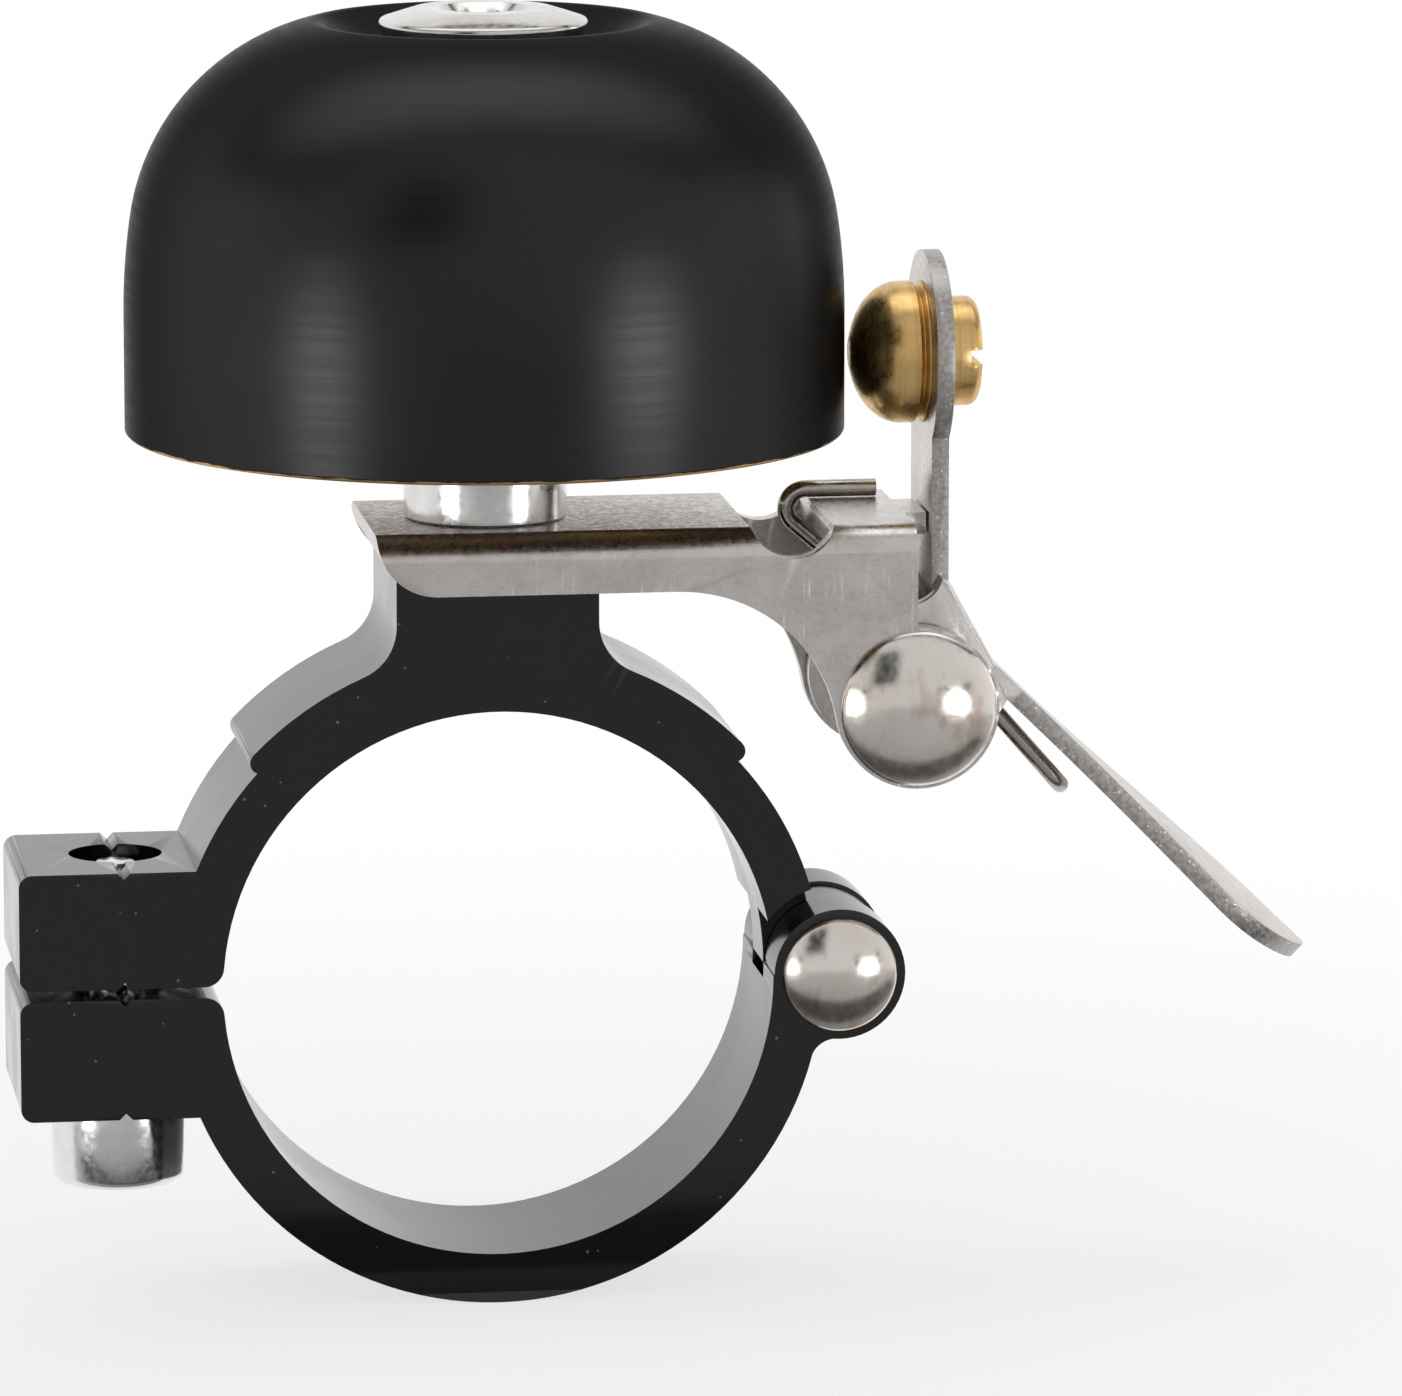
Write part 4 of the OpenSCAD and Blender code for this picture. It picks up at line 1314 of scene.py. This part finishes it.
@dataclass
class TorsionSpring:
    """The torsion spring: a hook over the bracket, a coil round the pivot, and a leg under the paddle."""

    wire: float = 0.8
    coil_r: float = 2.55
    turns: int = 5
    hook_y: float = 3.2
    leg_y: float = 1.5
    leg_slope: float = 48.9
    leg_l: float = 8.4
    hook_r: float = 0.9
    end_r: float = 0.8
    end_l: float = 2.2
    notch_back: float = 5.75
    hook_over_notch: float = 1.8
    hook_rise: float = 8.86

    def __post_init__(self) -> None:
        """Find the pivot and the hook's place round it."""
        low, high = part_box("pivot_rivet")
        self.pivot = (low + high) / 2
        self.hook_x = self.hook_over_notch - self.notch_back
        self.hook_c = (self.hook_x, self.hook_rise - self.hook_r)

    def point(self, x: float, y: float, z: float) -> Vector:
        """A place in metres from millimetres round the pivot."""
        return self.pivot + Vector((x, y, z)) * MM

    def leg_start(self) -> Vector:
        """Where the coil lets go of the lower leg, in millimetres round the pivot."""
        a = math.radians(self.leg_slope)
        return Vector((self.coil_r * math.sin(a), -self.leg_y, self.coil_r * math.cos(a)))

    def build(self) -> None:
        """Wind the spring in two pieces: the hook and coil, which spans the two bodies and is attached to neither, and
        the leg on the lever.
        """
        cx, cz = self.hook_c
        reach = math.hypot(cx, cz)
        leg_a = math.degrees(math.atan2(-cz, -cx) + math.asin((self.coil_r + self.hook_r) / reach))
        hook = [self.point(-0.65, self.hook_y, self.hook_rise)]
        hook += [self.point(-1.6, self.hook_y, self.hook_rise)]
        hook += [self.point(x, self.hook_y, z) for x, z in arc(self.hook_c, self.hook_r, 90, 270 + leg_a, 18)]
        first, last = 90 + leg_a, 90 - self.leg_slope - 360 * self.turns
        steps = 36 * self.turns
        for step in range(steps + 1):
            share = step / steps
            x, z = polar(self.coil_r, first + (last - first) * share)
            hook.append(self.point(x, self.hook_y - (self.hook_y + self.leg_y) * share, z))
        coil = Bench.wire("spring_coil_wound", hook, self.wire / 2)
        Bench.take(coil)
        bpy.ops.object.shade_smooth_by_angle(angle=math.radians(50))
        dress(coil, SpringWire())
        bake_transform(coil)
        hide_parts("torsion_spring")
        SpringWire().slot
        report(coil)
        self.build_leg()

    def build_leg(self) -> None:
        """Bend the lower leg, which presses on the paddle's underside."""
        a = math.radians(self.leg_slope)
        way = Vector((math.cos(a), 0, -math.sin(a)))
        start = self.leg_start()
        path = [start - way * 0.12]
        straight = self.leg_l - self.end_r
        path += [start + way * straight * step / 6 for step in range(7)]
        for step in range(1, 9):
            turn = math.radians(90 * step / 8)
            side = Vector((0, self.end_r * (1 - math.cos(turn)), 0))
            path.append(start + way * (straight + self.end_r * math.sin(turn)) + side)
        path.append(start + way * self.leg_l + Vector((0, self.end_l, 0)))
        leg = Bench.wire("spring_leg_bent", [self.point(*p) for p in path], self.wire / 2)
        Bench.take(leg)
        bpy.ops.object.shade_smooth_by_angle(angle=math.radians(50))
        hand_in(leg, SpringWire(), Body.STRIKER, "torsion_spring")


@dataclass
class Striker:
    """The striker's bracket, pivot, lever, hammer and spring."""

    pivot_pin: float = 3.0
    pivot_head: float = 7.2
    pivot_rise: float = 1.5

    def build(self) -> None:
        """Build and dress the whole striker."""
        keep("striker_bracket", NickelSheet(), 0.09, 2)
        keep("pivot_sleeve", BrightSteel(title="Bright turned sleeve"), 0.05)
        grip = (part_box("striker_bracket")[1].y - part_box("striker_bracket")[0].y) / MM
        SetRivet("pivot_rivet_set", "pivot_rivet", self.pivot_pin, self.pivot_head, self.pivot_rise, grip).build()
        StrikerLever().build()
        Hammer().build()
        TorsionSpring().build()


# ---------------------------------------------------------------------------
# Studio
# ---------------------------------------------------------------------------


@dataclass(frozen=True)
class Lamp:
    """A soft panel of light: its place and size in millimetres, and its radiance."""

    name: str
    place: Tuple[float, float, float]
    size: Tuple[float, float]
    level: float


@dataclass
class Studio:
    """A pale floor, a white surround, soft panels and the camera."""

    aim: Tuple[float, float, float] = (10.02, 0.0, 12.2)
    distance: float = 466.7
    yaw: float = -7.98
    elevation: float = 10.37
    lens: float = 259.1
    floor_z: float = -15.0
    ambient: float = 0.62
    front_level: float = 0.7
    lamps: Tuple[Lamp, ...] = (
        Lamp("left_panel", (-255, -160, -14), (175, 200), 6.4),
        Lamp("right_panel", (215, -225, -14), (195, 200), 7.2),
        Lamp("rim_panel", (310, 120, 60), (130, 240), 3.0),
        Lamp("top_panel", (10, 60, 420), (1400, 500), 1.8),
    )

    def build(self) -> None:
        """Set the studio up."""
        bpy.context.scene.view_settings.view_transform = "Standard"
        self.build_world()
        self.build_floor()
        for lamp in self.lamps:
            self.hang(lamp)
        self.build_card("lens_card", self.camera_place() + Vector((-170, 60, 250)), (250, 380), 0.05)
        self.build_card("table_card", Vector((10, -202, self.floor_z + 0.5)), (230, 396), 0.6, flat=True)
        self.build_card("near_card", Vector((10, -15, self.floor_z + 0.6)), (110, 12), 0.12, flat=True)
        self.build_camera()

    def camera_place(self) -> Vector:
        """Where the camera stands, in millimetres."""
        yaw, up = math.radians(self.yaw), math.radians(self.elevation)
        back = Vector((math.sin(yaw) * math.cos(up), -math.cos(yaw) * math.cos(up), math.sin(up)))
        return Vector(self.aim) + back * self.distance

    def build_world(self) -> None:
        """A white surround for the camera and for reflections, and a level light for the rest."""
        world = bpy.data.worlds.new("Studio surround")
        bpy.context.scene.world = world
        world.use_nodes = True
        graph = Graph(world.node_tree)
        path = graph.node("ShaderNodeLightPath").outputs
        seen = graph.math("MAXIMUM", path["Is Camera Ray"], path["Is Glossy Ray"])
        seen = graph.math("MAXIMUM", seen, path["Is Transmission Ray"])
        way = graph.split(graph.node("ShaderNodeTexCoord").outputs["Generated"])[1]
        around = graph.spread(way, -0.7, 0.25, self.front_level, 1.0)
        mirrored = graph.math("MAXIMUM", path["Is Camera Ray"], around)
        level = graph.node("ShaderNodeMix", {"data_type": "FLOAT"}, Factor=seen)
        graph.feed(level.inputs[2], self.ambient)
        graph.feed(level.inputs[3], mirrored)
        level = level.outputs[0]
        light = graph.node("ShaderNodeBackground", Color=(1, 1, 1), Strength=level)
        graph.node("ShaderNodeOutputWorld", Surface=light.outputs[0])

    def build_floor(self) -> None:
        """A pale floor that keeps the object's shadow and turns white further off."""
        Bench.clear()
        bpy.ops.mesh.primitive_circle_add(vertices=96, radius=4, fill_type="NGON", location=(0, 0, self.floor_z * MM))
        floor = bpy.context.object
        floor.name = "floor"
        bpy.ops.object.transform_apply(location=True)
        work = Surface("Pale floor")
        graph = work.graph
        x, y, _ = graph.split(work.place)
        far = graph.math("SQRT", graph.math("ADD", graph.math("MULTIPLY", x, x), graph.math("MULTIPLY", y, y)))
        path = graph.node("ShaderNodeLightPath").outputs
        seen = graph.math("MAXIMUM", path["Is Camera Ray"], path["Is Glossy Ray"])
        share = graph.math("MULTIPLY", seen, graph.spread(far, 0.025, 0.14, 0.7, 1.0))
        work.set(Base_Color=(0.9, 0.9, 0.9), Roughness=0.9)
        glow = graph.node("ShaderNodeEmission", Color=(1, 1, 1), Strength=1.02)
        mix = graph.node("ShaderNodeMixShader")
        graph.feed(mix.inputs[0], share)
        graph.feed(mix.inputs[1], work.shader.outputs[0])
        graph.feed(mix.inputs[2], glow.outputs[0])
        output = next(n for n in graph.tree.nodes if n.type == "OUTPUT_MATERIAL")
        graph.feed(output.inputs["Surface"], mix.outputs[0])
        floor.data.materials.append(work.material)
        floor.visible_glossy = False

    def hang(self, lamp: Lamp) -> None:
        """Hang a panel that shines brightest in its middle, and aim it at the object."""
        Bench.clear()
        toward = (Vector(self.aim) - Vector(lamp.place)).to_track_quat("Z", "Y")
        bpy.ops.mesh.primitive_plane_add(size=MM, location=Vector(lamp.place) * MM, rotation=toward.to_euler())
        panel = bpy.context.object
        panel.name = lamp.name
        panel.scale = (*lamp.size, 1)
        work = Surface(f"Panel {lamp.name}")
        graph = work.graph
        u, v, _ = graph.split(graph.stretch(work.place, (2 / MM, 2 / MM, 1)))
        reach = graph.math("SQRT", graph.math("ADD", graph.math("MULTIPLY", u, u), graph.math("MULTIPLY", v, v)))
        work.set(
            Base_Color=(0, 0, 0),
            Emission_Color=(1, 1, 1),
            Emission_Strength=graph.spread(reach, 1.0, 0.15, 0.0, lamp.level),
        )
        panel.data.materials.append(work.material)
        panel.visible_camera = False
        panel.visible_shadow = False

    def build_card(self, name: str, place: Vector, size: Point2, shade: float, flat: bool = False) -> None:
        """Stand or lay a card that only reflections see.

        Args:
            name: The card's name.
            place: Its middle, in millimetres.
            size: Its width and height.
            shade: How light its grey is.
            flat: Whether it lies on the floor.
        """
        Bench.clear()
        bpy.ops.mesh.primitive_plane_add(size=1, location=place * MM, rotation=(0 if flat else math.pi / 2, 0, 0))
        card = bpy.context.object
        card.name = name
        card.scale = (size[0] * MM, size[1] * MM, 1)
        bpy.ops.object.transform_apply(location=True, rotation=True, scale=True)
        work = Surface(f"Card {name}")
        work.set(Base_Color=(shade, shade, shade), Roughness=0.9)
        card.data.materials.append(work.material)
        card.visible_camera = False
        card.visible_diffuse = False
        card.visible_shadow = False

    def build_camera(self) -> None:
        """Stand the camera in its place and aim it."""
        data = bpy.data.cameras.new("camera")
        data.lens = self.lens
        data.sensor_width = 36
        data.clip_start = 0.01
        data.clip_end = 50
        camera = bpy.data.objects.new("camera", data)
        place = self.camera_place()
        camera.location = place * MM
        camera.rotation_euler = (Vector(self.aim) - place).to_track_quat("-Z", "Y").to_euler()
        bpy.context.scene.collection.objects.link(camera)
        bpy.context.scene.camera = camera


def main() -> None:
    """Build every part of the bell in order, then the studio."""
    logging.basicConfig(level=logging.INFO, format="%(name)s: %(message)s")
    Studio().build()
    Clamp().build()
    DomeStack().build()
    Striker().build()
    Bench.clear()


if __name__ == "__main__":
    main()
